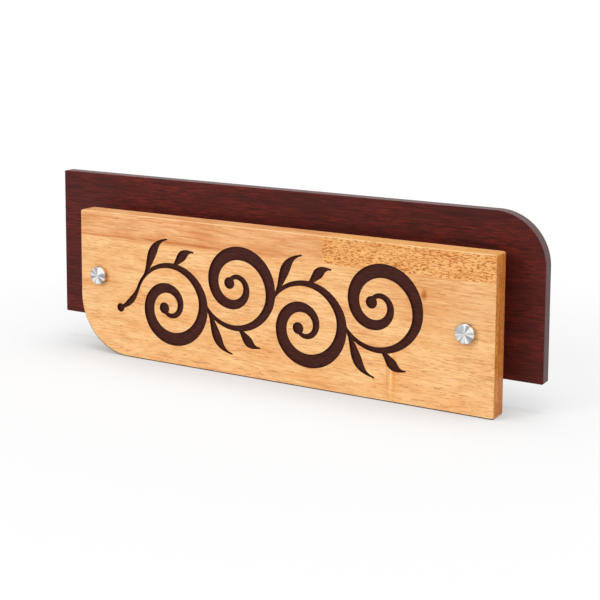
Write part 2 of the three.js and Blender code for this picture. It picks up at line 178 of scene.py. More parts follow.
class ScrollSettings(bpy.types.PropertyGroup):
    """Sizes and colours of the running scroll, as drawn before it is fitted to the board."""
    bays: count("Bays", "Curls along the scroll", 4)
    pitch: length("Pitch", "Distance from one bay to the next", 68)
    lift: length("Lift", "How far a bay's centre lies off the middle line", 13)
    curl: angle("Curl", "Turn of a bay's curl past its round part", 540)
    curl_ease: number("Curl ease", "How late a curl winds in", 1.25, lowest=0.5)
    eye: length("Eye", "Radius at which a curl ends", 6)
    eye_ball: length("Eye ball", "Radius of the ball at a curl's end", 5)
    tail: angle("Tail", "Turn of the scroll's short first end", 46)
    tail_ball: length("Tail ball", "Radius of the ball that starts the scroll", 3.8)
    start_width: length("Start width", "Width of a stroke at its start", 2.8)
    full_width: length("Full width", "Width of the vine at its fullest", 11.4)
    end_width: length("End width", "Width of the vine at its end", 3.4)
    fullest_at: number("Fullest at", "Where the vine is fullest, as a share of its length", 0.34)
    tail_width: length("Tail width", "Width of the tail at its fullest", 5.6)
    leaf_width: length("Leaf width", "Width of a leaf at its fullest", 8.6)
    leaf_tip: length("Leaf tip", "Width of a leaf at its tip", 1.2)
    leaf_bend: number("Leaf bend", "Reach of a leaf's curve, as a share of its length", 0.4)
    depth: length("Depth", "Depth of the routed pocket", 1.8)
    lip: length("Lip", "Width of the eased lip of the pocket", 0.15)
    from_cap: length("From cap", "Room left beside each cap", 7)
    from_edge: length("From edge", "Room left above and below", 8)
    paint: colour("Paint", "Paint in the pocket", "#4a2118")
    paint_shade: colour("Paint, darker", "Paint where it lies thicker", "#38150f")


class PlateSettings(bpy.types.PropertyGroup):
    """Sizes and colours of the back plate."""
    round_corner: length("Round corner", "Radius of the plate's upper right corner", 41)
    small_corner: length("Small corner", "Radius of the other corners", 1)
    arris: length("Arris", "Chamfer of the sawn edges", 0.2)
    face: colour("Face", "Ground colour of the rosewood print", "#501b16")
    face_red: colour("Face, red streaks", "Red streaks in the print", "#80281b")
    face_dark: colour("Face, dark streaks", "Dark streaks in the print", "#2a0c0b")
    core: colour("Core", "Sawn edge of the core board", "#725a59")
    core_shade: colour("Core, darker", "Darker fibres of the core board", "#553f3f")
    rear: colour("Rear", "Backing laminate", "#3c2b2b")


class StandoffSettings(bpy.types.PropertyGroup):
    """Sizes and colours of the standoffs."""
    cap_chamfer: length("Cap chamfer", "Chamfer of a cap's rim", 0.6)
    ring_width: length("Ring width", "Width of the rings that the lathe leaves on a cap's face", 1.1)
    ring_depth: length("Ring depth", "Depth of those rings", 0.035)
    # Painted reflection: how narrow the light and dark sectors on turned steel are
    sectors: number("Sectors", "How narrow the lathe's sectors are", 2.2)
    edge: length("Edge", "Radius of the broken edges", 0.12)
    chamfer: length("Chamfer", "Chamfer of barrels and thread ends", 0.5)
    thread_pitch: length("Thread pitch", "Rise of the thread in one turn", 1)
    thread_depth: length("Thread depth", "Depth of the thread", 0.5)
    bore: length("Bore", "Diameter of a barrel's bore", 6.2)
    washer_bore: length("Washer bore", "Diameter of a washer's hole", 6.6)
    thread: length("Thread", "Diameter of the studs and screws", 6)
    screw_rim: length("Screw rim", "Height of a screw head's rim", 0.4)
    screw_clearance: length("Screw clearance", "Room around a screw's head", 0.15)
    screw_below: length("Screw below", "How deep a screw head lies under the rear face", 0.2)
    recess_span: length("Recess span", "Width of the cross recess", 5.6)
    recess_slot: length("Recess slot", "Width of the recess's arms", 1.2)
    recess_depth: length("Recess depth", "Depth of the cross recess", 2)
    recess_flare: number("Recess flare", "Width of the cutter past the mouth, as a share of the span", 1.1)
    recess_taper: number("Recess taper", "Width of the recess at its floor, as a share of the span", 0.45)
    # Steel and its darker tone are the light and dark sectors of a painted reflection
    steel: colour("Steel", "Turned stainless steel", "#f2f2f1")
    steel_dark_reflection: colour("Steel, deep", "Stainless steel in the lathe's darker sectors", "#9fa0a1")
    zinc: colour("Zinc", "Zinc-plated steel", "#a6a9ac")
    nylon: colour("Nylon", "Natural nylon", "#e7e4da")


class StudioSettings(bpy.types.PropertyGroup):
    """The floor, the lamps and the camera."""
    floor: colour("Floor", "Paper of the floor", "#f8f8f8")
    floor_reach: length("Floor reach", "Half the side of the floor", 40000)
    shade_reach: length("Shade reach", "How near the plate shades the floor softly", 110)
    shade_level: number("Shade level", "Brightness of the deepest soft shade", 0.38)
    fade_start: length("Fade start", "Where the floor starts to fade to white, from the plate's middle", 220)
    fade_end: length("Fade end", "Where the floor is all white", 500)
    white_near: number("White near", "Share of white before the fade starts", 0.7)
    key: number("Key lamp", "Power of the key lamp in watts", 27)
    key_place: location("Key lamp's place", "At the front left", (-1.2, -1.95, 1.2))
    key_size: length("Key lamp's size", "Side of the square key lamp", 950)
    top: number("Top lamp", "Power of the lamp overhead in watts", 46)
    top_place: location("Top lamp's place", "Nearly overhead", (0.3, -0.15, 2.6))
    fill: number("Fill lamp", "Power of the fill lamp in watts", 16.5)
    fill_place: location("Fill lamp's place", "At the front right", (1.9, -1.5, 0.9))
    lamp_size: length("Lamp size", "Side of the other square lamps", 1800)
    room: number("Room light", "Strength of the light from all around", 0.12)
    camera_place: location("Camera's place", "To the right of the middle", (0.5698, -0.959, 0.2311))
    yaw: angle("Yaw", "Turn of the camera to the left", 30.23)
    pitch: angle("Pitch", "How far the camera looks down", 6.87)
    roll: angle("Roll", "Turn of the camera about its view", 0.28)
    lens: number("Lens", "Focal length in millimetres, on a 36 mm wide picture", 81.78, lowest=1.0)
    shift: number("Shift", "Vertical shift, as a share of the picture", -0.25, lowest=-1.0)


class NamePlateSettings(bpy.types.PropertyGroup):
    """All settings of the name plate."""
    board: PointerProperty(type=BoardSettings)
    scroll: PointerProperty(type=ScrollSettings)
    plate: PointerProperty(type=PlateSettings)
    standoff: PointerProperty(type=StandoffSettings)
    studio: PointerProperty(type=StudioSettings)


# Places, read from the model's parts

def box_of(*nodes):
    """The lowest and highest corners of several nodes together."""
    lows, highs = zip(*(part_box(node) for node in nodes))
    return Vector(map(min, zip(*lows))), Vector(map(max, zip(*highs)))


def axis_of(node):
    """The middle of a turned node, through which its axis runs along Y."""
    low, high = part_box(node)
    return (low + high) / 2


def at_depth(point, y):
    """The same point in width and height, at another depth."""
    return Vector((point.x, y, point.z))


def turned_size(node):
    """Where a turned node starts and ends along its axis, from the front to the rear, and its radius."""
    low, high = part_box(node)
    return low.y, high.y, (high.x - low.x) / 2


# Meshes

def plain_mesh(name, corners, faces=(), edges=()):
    mesh = bpy.data.meshes.new(name)
    mesh.from_pydata([tuple(corner) for corner in corners], list(edges), list(faces))
    return mesh


def cleaned(mesh):
    """The mesh with doubles merged, faces outwards, flat sides flat, round sides smooth and none open."""
    work = bmesh.new()
    work.from_mesh(mesh)
    bmesh.ops.remove_doubles(work, verts=work.verts, dist=MERGE_DISTANCE)
    bmesh.ops.dissolve_degenerate(work, edges=work.edges, dist=MERGE_DISTANCE / 2)
    bmesh.ops.recalc_face_normals(work, faces=work.faces)
    if not all(edge.is_manifold for edge in work.edges):
        raise RuntimeError(f"{mesh.name} isn't closed")
    for face in work.faces:
        face.smooth = max(abs(part) for part in face.normal) < FLAT_FACE
    for edge in work.edges:
        edge.smooth = edge.calc_face_angle() < SHARP_EDGE
    bmesh.ops.triangulate(work, faces=[face for face in work.faces if len(face.verts) > 4])
    work.to_mesh(mesh)
    work.free()
    return mesh


def lofted(name, rings):
    """A closed mesh through rings of equally many points, with a cap on its first and last ring."""
    around = len(rings[0])
    corners = [point for ring in rings for point in ring]
    faces = [range(around), range(len(corners) - around, len(corners))]
    for start in range(0, len(corners) - around, around):
        for i in range(around):
            after = (i + 1) % around
            faces.append((start + i, start + after, start + around + after, start + around + i))
    return cleaned(plain_mesh(name, corners, faces))


def heading(degrees):
    turn = math.radians(degrees)
    return Vector((math.cos(turn), math.sin(turn)))


def rounded_rectangle(low, high, radii, inset=0.0):
    """A rectangle's outline in width and height, with rounded corners, from the lower left one onwards."""
    corners = (
        (low.x, low.z, 1, 1), (high.x, low.z, -1, 1), (high.x, high.z, -1, -1), (low.x, high.z, 1, -1),
    )
    points = []
    for quarter, ((x, z, right, up), radius) in enumerate(zip(corners, radii)):
        centre = Vector((x + right * radius, z + up * radius))
        steps = CORNER_STEPS if radius == max(radii) else SMALL_CORNER_STEPS
        for i in range(steps + 1):
            points.append(centre + heading(180 + 90 * quarter + 90 * i / steps) * (radius - inset))
    return points


def slab(name, low, high, radii, arris, arris_steps):
    """An upright slab with rounded corners and eased edges all round."""
    rings = []
    for i in range(arris_steps + 1):
        turn = math.pi / 2 * i / arris_steps
        outline = rounded_rectangle(low, high, radii, arris * (1 - math.sin(turn)))
        rings.append([Vector((p.x, low.y + arris * (1 - math.cos(turn)), p.y)) for p in outline])
    front = [[Vector((p.x, low.y + high.y - p.y, p.z)) for p in ring] for ring in reversed(rings)]
    return lofted(name, rings + front)


# Nodes

def add_node(tree, kind, inputs=None, output=None, **settings):
    """Adds a node with its settings and returns the named output, or else its first one.

    An input is named, or numbered among the usable ones. It takes a value, a socket or several in a list."""
    node = tree.nodes.new(kind)
    for name, value in settings.items():
        setattr(node, name, value)
    for key, value in (inputs or {}).items():
        usable = [socket for socket in node.inputs if socket.enabled]
        socket = usable[key] if isinstance(key, int) else next(s for s in usable if s.name == key)
        if isinstance(value, (bpy.types.NodeSocket, list)):
            for source in value if isinstance(value, list) else [value]:
                tree.links.new(source, socket)
        elif socket.type == "RGBA":
            socket.default_value = (*value, 1)
        else:
            socket.default_value = value
    usable = [socket for socket in node.outputs if socket.enabled]
    return next((socket for socket in usable if output in (None, socket.name)), None)


def geometry_tree(name, inputs):
    """A geometry tree with named inputs, of which an object gives its geometry.

    Returns the tree, the rule that adds a node to it, and the sockets of its inputs by name."""
    tree = bpy.data.node_groups.new(name, "GeometryNodeTree")
    add = partial(add_node, tree)
    for socket, kind in {"Geometry": "Geometry", **inputs}.items():
        tree.interface.new_socket(socket, in_out="INPUT", socket_type="NodeSocket" + kind)
    tree.interface.new_socket("Geometry", in_out="OUTPUT", socket_type="NodeSocketGeometry")
    entry = tree.nodes.new("NodeGroupInput")
    given = {socket.name: socket for socket in entry.outputs if socket.name}
    for socket, kind in inputs.items():
        if kind == "Object":
            given[socket] = add("GeometryNodeObjectInfo", {"Object": given[socket]}, output="Geometry")
    return tree, add, given


def finish_tree(tree, geometry, material, selection=True):
    real = add_node(tree, "GeometryNodeRealizeInstances", {"Geometry": geometry})
    inputs = {"Geometry": real, "Selection": selection, "Material": material}
    dressed = add_node(tree, "GeometryNodeSetMaterial", inputs)
    add_node(tree, "NodeGroupOutput", {"Geometry": dressed})
    return tree


def turned_piece_tree():
    """Spins a profile, drawn as radius and place along Y, about Y, and cuts a right-hand thread in it."""
    tree, add, given = geometry_tree("turned_piece", {
        "Steps": "Int", "Thread Pitch": "Float", "Thread Depth": "Float", "Thread Start": "Float",
        "Thread End": "Float", "Material": "Material",
    })
    profile = given["Geometry"]
    pitch = given["Thread Pitch"]
    points = add("GeometryNodeAttributeDomainSize", {"Geometry": profile}, component="MESH")
    columns = add("FunctionNodeIntegerMath", {0: given["Steps"], 1: 1}, operation="ADD")
    grid = add("GeometryNodeMeshGrid", {"Vertices X": columns, "Vertices Y": points})
    index = add("GeometryNodeInputIndex")
    column = add("FunctionNodeIntegerMath", {0: index, 1: points}, operation="DIVIDE_FLOOR")
    row = add("FunctionNodeIntegerMath", {0: index, 1: points}, operation="MODULO")
    position = add("GeometryNodeInputPosition")
    sample = {"Geometry": profile, "Value": position, "Index": row}
    place = add("GeometryNodeSampleIndex", sample, data_type="FLOAT_VECTOR")
    radius = add("ShaderNodeSeparateXYZ", {"Vector": place}, output="X")
    along = add("ShaderNodeSeparateXYZ", {"Vector": place}, output="Y")
    turn = add("ShaderNodeMath", {0: column, 1: given["Steps"]}, operation="DIVIDE")
    rise = add("ShaderNodeMath", {0: along, 1: pitch}, operation="DIVIDE")
    phase = add("ShaderNodeMath", {0: rise, 1: turn}, operation="ADD")
    doubled = add("ShaderNodeMath", {0: phase, 1: 2.0}, operation="MULTIPLY")
    ridge = add("ShaderNodeMath", {0: doubled, 1: 1.0}, operation="PINGPONG")
    past_start = add("ShaderNodeMath", {0: along, 1: given["Thread Start"]}, operation="SUBTRACT")
    before_end = add("ShaderNodeMath", {0: given["Thread End"], 1: along}, operation="SUBTRACT")
    inside = add("ShaderNodeMath", {0: past_start, 1: before_end}, operation="MINIMUM")
    window = add("ShaderNodeMath", {0: inside, 1: pitch}, operation="DIVIDE", use_clamp=True)
    share = add("ShaderNodeMath", {0: window, 1: ridge}, operation="MULTIPLY")
    cut = add("ShaderNodeMath", {0: share, 1: given["Thread Depth"]}, operation="MULTIPLY")
    reach = add("ShaderNodeMath", {0: radius, 1: cut}, operation="SUBTRACT")
    radians = add("ShaderNodeMath", {0: turn, 1: math.tau}, operation="MULTIPLY")
    drawn = add("ShaderNodeCombineXYZ", {"X": reach, "Y": along})
    spun = add(
        "ShaderNodeVectorRotate", {"Vector": drawn, "Angle": radians}, rotation_type="Y_AXIS", invert=True,
    )
    skin = add("GeometryNodeSetPosition", {"Geometry": grid, "Position": spun})
    closed = add("GeometryNodeMergeByDistance", {"Geometry": skin, "Distance": MERGE_DISTANCE})
    return finish_tree(tree, closed, given["Material"])


def repeated_cut_tree():
    """Cuts one cutter out of a piece at several places, each copy turned about Y a step further."""
    tree, add, given = geometry_tree(
        "repeated_cut", {"Cutter": "Object", "Places": "Object", "Turn": "Float", "Material": "Material"},
    )
    index = add("GeometryNodeInputIndex")
    step = add("ShaderNodeMath", {0: index, 1: given["Turn"]}, operation="MULTIPLY")
    turned = add("FunctionNodeAxisAngleToRotation", {"Axis": (0, 1, 0), "Angle": step})
    laid = {"Points": given["Places"], "Instance": given["Cutter"], "Rotation": turned}
    copies = add("GeometryNodeInstanceOnPoints", laid)
    parts = {"Mesh 1": given["Geometry"], "Mesh 2": copies}
    cut = add("GeometryNodeMeshBoolean", parts, operation="DIFFERENCE", solver="MANIFOLD")
    return finish_tree(tree, cut, given["Material"])


def running_scroll_tree():
    """Repeats a bay's strokes along the scroll, every other bay upside down, and joins the tail to them."""
    tree, add, given = geometry_tree(
        "running_scroll", {"Tail": "Object", "Bays": "Int", "Pitch": "Float", "Material": "Material"},
    )
    bay = given["Geometry"]
    gaps = add("ShaderNodeMath", {0: given["Bays"], 1: 1.0}, operation="SUBTRACT")
    reach = add("ShaderNodeMath", {0: gaps, 1: given["Pitch"]}, operation="MULTIPLY")
    first = add("ShaderNodeMath", {0: reach, 1: -0.5}, operation="MULTIPLY")
    start = add("ShaderNodeCombineXYZ", {"X": first})
    step = add("ShaderNodeCombineXYZ", {"X": given["Pitch"]})
    row = add("GeometryNodeMeshLine", {"Count": given["Bays"], "Start Location": start, "Offset": step})
    index = add("GeometryNodeInputIndex")
    odd = add("FunctionNodeIntegerMath", {0: index, 1: 2}, operation="MODULO")
    even = add("FunctionNodeBooleanMath", {0: odd}, operation="NOT")
    mirrored = add("GeometryNodeTransform", {"Geometry": bay, "Scale": (1, 1, -1)})
    righted = add("GeometryNodeFlipFaces", {"Mesh": mirrored})
    hanging = add("GeometryNodeInstanceOnPoints", {"Points": row, "Instance": bay, "Selection": even})
    standing = add("GeometryNodeInstanceOnPoints", {"Points": row, "Instance": righted, "Selection": odd})
    strokes = add("GeometryNodeJoinGeometry", {"Geometry": [hanging, standing, given["Tail"]]})
    loose = add("GeometryNodeRealizeInstances", {"Geometry": strokes})
    island = add("GeometryNodeInputMeshIsland", output="Island Index")
    apart = add("GeometryNodeSplitToInstances", {"Geometry": loose, "Group ID": island}, domain="FACE")
    joined = add("GeometryNodeMeshBoolean", {0: apart}, operation="UNION", solver="MANIFOLD")
    return finish_tree(tree, joined, given["Material"])


def carved_stave_tree():
    """Cuts one stave out of the whole board, and the painted pocket out of the stave."""
    tree, add, given = geometry_tree(
        "carved_stave", {"Room": "Object", "Pocket": "Object", "Paint": "Material", "Wood": "Material"},
    )
    common = {0: [given["Geometry"], given["Room"]]}
    stave = add("GeometryNodeMeshBoolean", common, operation="INTERSECT", solver="MANIFOLD")
    parts = {"Mesh 1": stave, "Mesh 2": given["Pocket"]}
    carved = add("GeometryNodeMeshBoolean", parts, operation="DIFFERENCE", solver="MANIFOLD")
    painted = add("GeometryNodeMaterialSelection", {"Material": given["Paint"]})
    bare = add("FunctionNodeBooleanMath", {0: painted}, operation="NOT")
    return finish_tree(tree, carved, given["Wood"], bare)


def grown(name, tree, mesh, inputs):
    """The plain mesh that a geometry tree makes of a mesh."""
    carrier = bpy.data.objects.new(name, mesh)
    bpy.context.scene.collection.objects.link(carrier)
    modifier = carrier.modifiers.new(name, "NODES")
    modifier.node_group = tree
    for item in tree.interface.items_tree:
        if item.in_out == "INPUT" and item.name in inputs:
            modifier[item.identifier] = inputs[item.name]
    evaluated = carrier.evaluated_get(bpy.context.evaluated_depsgraph_get())
    result = bpy.data.meshes.new_from_object(evaluated)
    carrier.modifiers.remove(modifier)
    bpy.data.objects.remove(carrier)
    result.name = name
    return cleaned(result)


def tool(name, mesh):
    """An object that a geometry tree cuts or counts with. It is removed once its work is done."""
    helper = bpy.data.objects.new(name, mesh)
    bpy.context.scene.collection.objects.link(helper)
    return helper


def put_away(*tools):
    for helper in tools:
        bpy.data.objects.remove(helper)


def cut_at(name, blank, cutter, centres, material, turn=0.0):
    """A piece from which one cutter is taken at several centres, each time turned further about Y."""
    cutting = tool("cutter", cutter)
    places = tool("places", plain_mesh("places", centres))
    inputs = {"Cutter": cutting, "Places": places, "Turn": turn, "Material": material}
    mesh = grown(name, repeated_cut_tree(), blank, inputs)
    put_away(cutting, places)
    return mesh


def add_piece(node, mesh, slot, body):
    """A finished piece in its node's place, riding on its body."""
    piece = bpy.data.objects.new(node + "_fine", mesh)
    bpy.context.scene.collection.objects.link(piece)
    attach(piece, body)
    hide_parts(node)
    return piece


# Materials

def new_material(name):
    """A material with an empty tree, and the rule that adds a node to it."""
    material = bpy.data.materials.new(name)
    material.use_nodes = True
    material.node_tree.nodes.clear()
    return material, partial(add_node, material.node_tree)


def finish_material(add, look, relief=None, strength=0.0, depth=0.0, sunk=False):
    """The shader with its sockets, and with a relief so many millimetres high or deep, if there is one."""
    if relief is not None:
        height = {"Height": relief, "Strength": strength, "Distance": depth * MM}
        look["Normal"] = add("ShaderNodeBump", height, invert=sunk)
    shader = add("ShaderNodeBsdfPrincipled", look)
    add("ShaderNodeOutputMaterial", {"Surface": shader})


def mottle(add, vector, sizes, low, high, strength=1.0, detail=2.0, roughness=0.5):
    """Noise whose patches measure so many millimetres each way, from 0 at its low mark to its strength."""
    scale = tuple(1 / (size * MM) for size in sizes)
    scaled = add("ShaderNodeVectorMath", {0: vector, 1: scale}, operation="MULTIPLY")
    pattern = {"Vector": scaled, "Scale": 1.0, "Detail": detail, "Roughness": roughness}
    noise = add("ShaderNodeTexNoise", pattern)
    return add("ShaderNodeMapRange", {"Value": noise, "From Min": low, "From Max": high, "To Max": strength})


def wandering(add, seed, sizes, reach):
    """Object coordinates moved by a seed and swaying as fibres do, so that no streak runs dead straight."""
    place = add("ShaderNodeTexCoord", output="Object")
    moved = add("ShaderNodeMapping", {"Vector": place, "Location": tuple(part * MM for part in seed)})
    scale = tuple(1 / (size * MM) for size in sizes)
    scaled = add("ShaderNodeVectorMath", {0: moved, 1: scale}, operation="MULTIPLY")
    noise = add("ShaderNodeTexNoise", {"Vector": scaled, "Scale": 1.0, "Detail": 3.0}, output="Color")
    centred = add("ShaderNodeVectorMath", {0: noise, 1: (0.5, 0.5, 0.5)}, operation="SUBTRACT")
    most = (0, reach * MM, reach * MM)
    sway = add("ShaderNodeVectorMath", {0: centred, 1: most}, operation="MULTIPLY")
    return add("ShaderNodeVectorMath", {0: moved, 1: sway}, operation="ADD")


def layered(add, base, *layers):
    """A colour with others laid over it one after another, each by its share."""
    for share, tint in layers:
        base = add("ShaderNodeMix", {"Factor": share, "A": base, "B": tint}, data_type="RGBA")
    return base


def soft_marks(add, grain, marks, seed):
    """Layers for soft marks on the board's face, broken by the fibres. A mark has its middle across and up,
    its reach across and up, all in millimetres, its colour and its strength."""
    if not marks:
        return []
    fibres = mottle(add, grain, (15, 1.3, 1.3), 0.38, 0.6, strength=0.6, detail=3.0)
    broken = add("ShaderNodeMath", {0: fibres, 1: 0.4}, operation="ADD")
    layers = []
    for across, up, reach, rise, tint, strength in marks:
        middle = tuple((part + moved) * MM for part, moved in zip((across, BOARD_FACE, up), seed))
        scale = tuple(1 / (size * MM) for size in (reach, MARK_DEPTH, rise))
        offset = add("ShaderNodeVectorMath", {0: grain, 1: middle}, operation="SUBTRACT")
        scaled = add("ShaderNodeVectorMath", {0: offset, 1: scale}, operation="MULTIPLY")
        distance = add("ShaderNodeVectorMath", {0: scaled}, output="Value", operation="LENGTH")
        fade = {"Value": distance, "From Min": 1.0, "From Max": 0.3, "To Max": strength}
        share = add("ShaderNodeMapRange", fade)
        layers.append((add("ShaderNodeMath", {0: share, 1: broken}, operation="MULTIPLY"), tint))
    return layers


def facing_along(add, axis, signed=False):
    """How far a face looks along an axis of the piece: from 0 to 1, or from -1 if its sign is kept."""
    facing = add("ShaderNodeTexCoord", output="Normal")
    if not signed:
        facing = add("ShaderNodeVectorMath", {0: facing}, operation="ABSOLUTE")
    return add("ShaderNodeSeparateXYZ", {"Vector": facing}, output=axis)


def rubberwood(name, light, deep, settings, seed, pores, streaks, marks):
    """Rubberwood, planed, sanded and sealed with satin lacquer. The eye gets a pale straight-grained wood
    with soft blotches, fine broken streaks, short brown pore lines, and a darker, banded and speckled end
    grain, which painted shade darkens towards its rear. The upper and upright arrises are paler with a
    painted highlight, and a painted contact shade lies as a dark line along the arrises that stand on the
    floor."""
    material, add = new_material(name)
    grain = wandering(add, seed, (110, 22, 22), 4)
    blotches = mottle(add, grain, (44, 20, 12), 0.38, 0.64, strength=0.8, detail=3.0)
    cream = mottle(add, grain, (26, 1.1, 1.1), 0.48, 0.68, strength=0.5, detail=3.0, roughness=0.65)
    fibres = mottle(add, grain, (15, 1.1, 1.1), 0.46, 0.64, strength=0.5, detail=4.0, roughness=0.7)
    low = 0.62 - 0.1 * streaks
    red = mottle(add, grain, (60, 6, 2.4), low, low + 0.18, strength=0.6, detail=4.0)
    low = 0.66 - 0.14 * pores
    size = 1 - 0.25 * pores
    short = mottle(add, grain, (9 - 6 * pores, size, size), low, low + 0.06, detail=2.0)
    bare = 0.3 - 0.2 * pores
    full = 0.5 - 0.1 * pores
    patches = mottle(add, grain, (60, 9, 9), bare, full, strength=0.2 + 0.75 * pores)
    frontwise = facing_along(add, "Y")
    endwise = facing_along(add, "X")
    upwards = facing_along(add, "Z", signed=True)
    flat = {"Value": frontwise, "From Min": 0.3, "From Max": 0.9, "To Min": 0.3}
    flat_sawn = add("ShaderNodeMapRange", flat)
    sawn = add("ShaderNodeMath", {0: patches, 1: flat_sawn}, operation="MULTIPLY")
    open_pores = add("ShaderNodeMath", {0: short, 1: sawn}, operation="MULTIPLY")
    broad = [mark for mark in marks if min(mark[2:4]) >= BROAD_MARK]
    narrow = [mark for mark in marks if min(mark[2:4]) < BROAD_MARK]
    long_grain = layered(
        add, light, (blotches, deep), *soft_marks(add, grain, broad, seed), (cream, settings.glue),
        (fibres, settings.streak), (red, settings.streak), (open_pores, settings.pore_and_shadow),
        *soft_marks(add, grain, narrow, seed),
    )
    rings = mottle(add, grain, (30, 5, 44), 0.38, 0.62, strength=0.8, detail=3.0)
    # Painted shade: the end grain takes its deeper tone towards its rear, in the gap before the back plate
    place = add("ShaderNodeTexCoord", output="Object")
    depth = add("ShaderNodeSeparateXYZ", {"Vector": place}, output="Y")
    behind = {"Value": depth, "From Min": -40 * MM, "From Max": -24 * MM, "To Max": 0.6}
    rear_shade = add("ShaderNodeMapRange", behind)
    darkened = add("ShaderNodeMath", {0: rings, 1: rear_shade}, operation="MAXIMUM")
    speckle = mottle(add, grain, (2, 2, 3.2), 0.49, 0.62, strength=0.85, detail=3.0)
    end_grain = layered(
        add, settings.end_grain, (darkened, settings.end_grain_deep), (speckle, settings.pore_and_shadow),
    )
    end_share = add("ShaderNodeMapRange", {"Value": endwise, "From Min": 0.75, "From Max": 0.98})
    # Painted highlight: the upper and upright front arrises are laid paler, where light would catch them
    upright = add("ShaderNodeMath", {0: endwise, 1: 0.3}, operation="MULTIPLY")
    raised = add("ShaderNodeMath", {0: upright, 1: upwards}, operation="MAXIMUM")
    upper = add("ShaderNodeMath", {0: frontwise, 1: raised}, operation="MULTIPLY")
    arris_highlight = add("ShaderNodeMapRange", {"Value": upper, "From Min": 0.1, "From Max": 0.4, "To Max": 0.4})
    # Painted contact shade: a dark line along the lower front arrises, where the board stands on the floor
    lower = add("ShaderNodeMath", {0: frontwise, 1: upwards}, operation="MULTIPLY")
    contact_shade = add("ShaderNodeMapRange", {"Value": lower, "From Min": -0.02, "From Max": -0.2})
    whole = layered(add, long_grain, (end_share, end_grain), (arris_highlight, settings.wear_and_highlight), (contact_shade, settings.foot))
    sheen = mottle(add, grain, (20, 1.5, 1.5), 0.3, 0.7, strength=0.12)
    satin = add("ShaderNodeMath", {0: sheen, 1: 0.44}, operation="ADD")
    relief = add("ShaderNodeMath", {0: open_pores, 1: fibres}, operation="ADD")
    look = {"Base Color": whole, "Roughness": satin, "Specular IOR Level": 0.25}
    finish_material(add, look, relief, strength=0.2, depth=0.05, sunk=True)
    return material


def routing_paint(settings):
    """Dark brown paint brushed into the routed pocket. The eye gets a nearly matt, even dark shape in which
    the fibres underneath still show as a fine raised grain."""
    material, add = new_material("routing_paint")
    grain = wandering(add, (0, 0, 0), (60, 12, 12), 3)
    fibres = mottle(add, grain, (7, 1.3, 1.3), 0.36, 0.64, detail=3.0, roughness=0.6)
    base = layered(add, settings.paint, (fibres, settings.paint_shade))
    look = {"Base Color": base, "Roughness": 0.65, "Specular IOR Level": 0.15}
    finish_material(add, look, fibres, strength=0.6, depth=0.08)
    return material


def rosewood_laminate(settings):
    """High-pressure laminate with a dark rosewood print and a fine pressed grain. The eye gets a deep
    red-brown with thin red and near-black streaks along it and a soft broken shine."""
    material, add = new_material("rosewood_laminate")
    grain = wandering(add, (31, 0, 12), (90, 20, 20), 4)
    dark = mottle(add, grain, (34, 1.6, 1.5), 0.42, 0.62, strength=0.7, detail=4.0, roughness=0.7)
    clouds = mottle(add, grain, (60, 30, 16), 0.34, 0.6, detail=3.0)
    fine = mottle(add, grain, (14, 1.1, 1.0), 0.46, 0.62, strength=0.85, detail=4.0, roughness=0.75)
    red = add("ShaderNodeMath", {0: clouds, 1: fine}, operation="MULTIPLY")
    base = layered(add, settings.face, (dark, settings.face_dark), (red, settings.face_red))
    relief = mottle(add, grain, (7, 0.5, 0.5), 0.35, 0.65)
    rough = add("ShaderNodeMapRange", {"Value": relief, "To Min": 0.38, "To Max": 0.5})
    look = {"Base Color": base, "Roughness": rough, "Specular IOR Level": 0.15}
    finish_material(add, look, relief, strength=0.4, depth=0.05)
    return material


def sealed_core(settings):
    """Sawn edge of a fibreboard core, sealed with a thin tinted coat. The eye gets an even grey-brown with a
    fine woolly speckle and faint saw marks across the edge."""
    material, add = new_material("sealed_core")
    place = add("ShaderNodeTexCoord", output="Object")
    wool = mottle(add, place, (0.9, 0.5, 0.9), 0.35, 0.65, strength=0.7, detail=4.0, roughness=0.7)
    base = layered(add, settings.core, (wool, settings.core_shade))
    saw = mottle(add, place, (1.1, 60, 1.1), 0.35, 0.65, detail=1.0)
    relief = add("ShaderNodeMath", {0: wool, 1: saw}, operation="ADD")
    look = {"Base Color": base, "Roughness": 0.62, "Specular IOR Level": 0.3}
    finish_material(add, look, relief, strength=0.4, depth=0.06)
    return material


def backing_laminate(settings):
    """Balancing laminate on the rear. The eye gets a plain dull dark brown with a fine pressed pebble."""
    material, add = new_material("backing_laminate")
    place = add("ShaderNodeTexCoord", output="Object")
    pebble = mottle(add, place, (0.8, 0.8, 0.8), 0.3, 0.7)
    clouds = mottle(add, place, (45, 45, 45), 0.35, 0.65, strength=0.3, detail=3.0)
    wear_and_highlight = add("ShaderNodeMath", {0: clouds, 1: pebble}, operation="MULTIPLY")
    base = layered(add, settings.rear, (wear_and_highlight, settings.core))
    look = {"Base Color": base, "Roughness": 0.55, "Specular IOR Level": 0.25}
    finish_material(add, look, pebble, strength=0.35, depth=0.06)
    return material


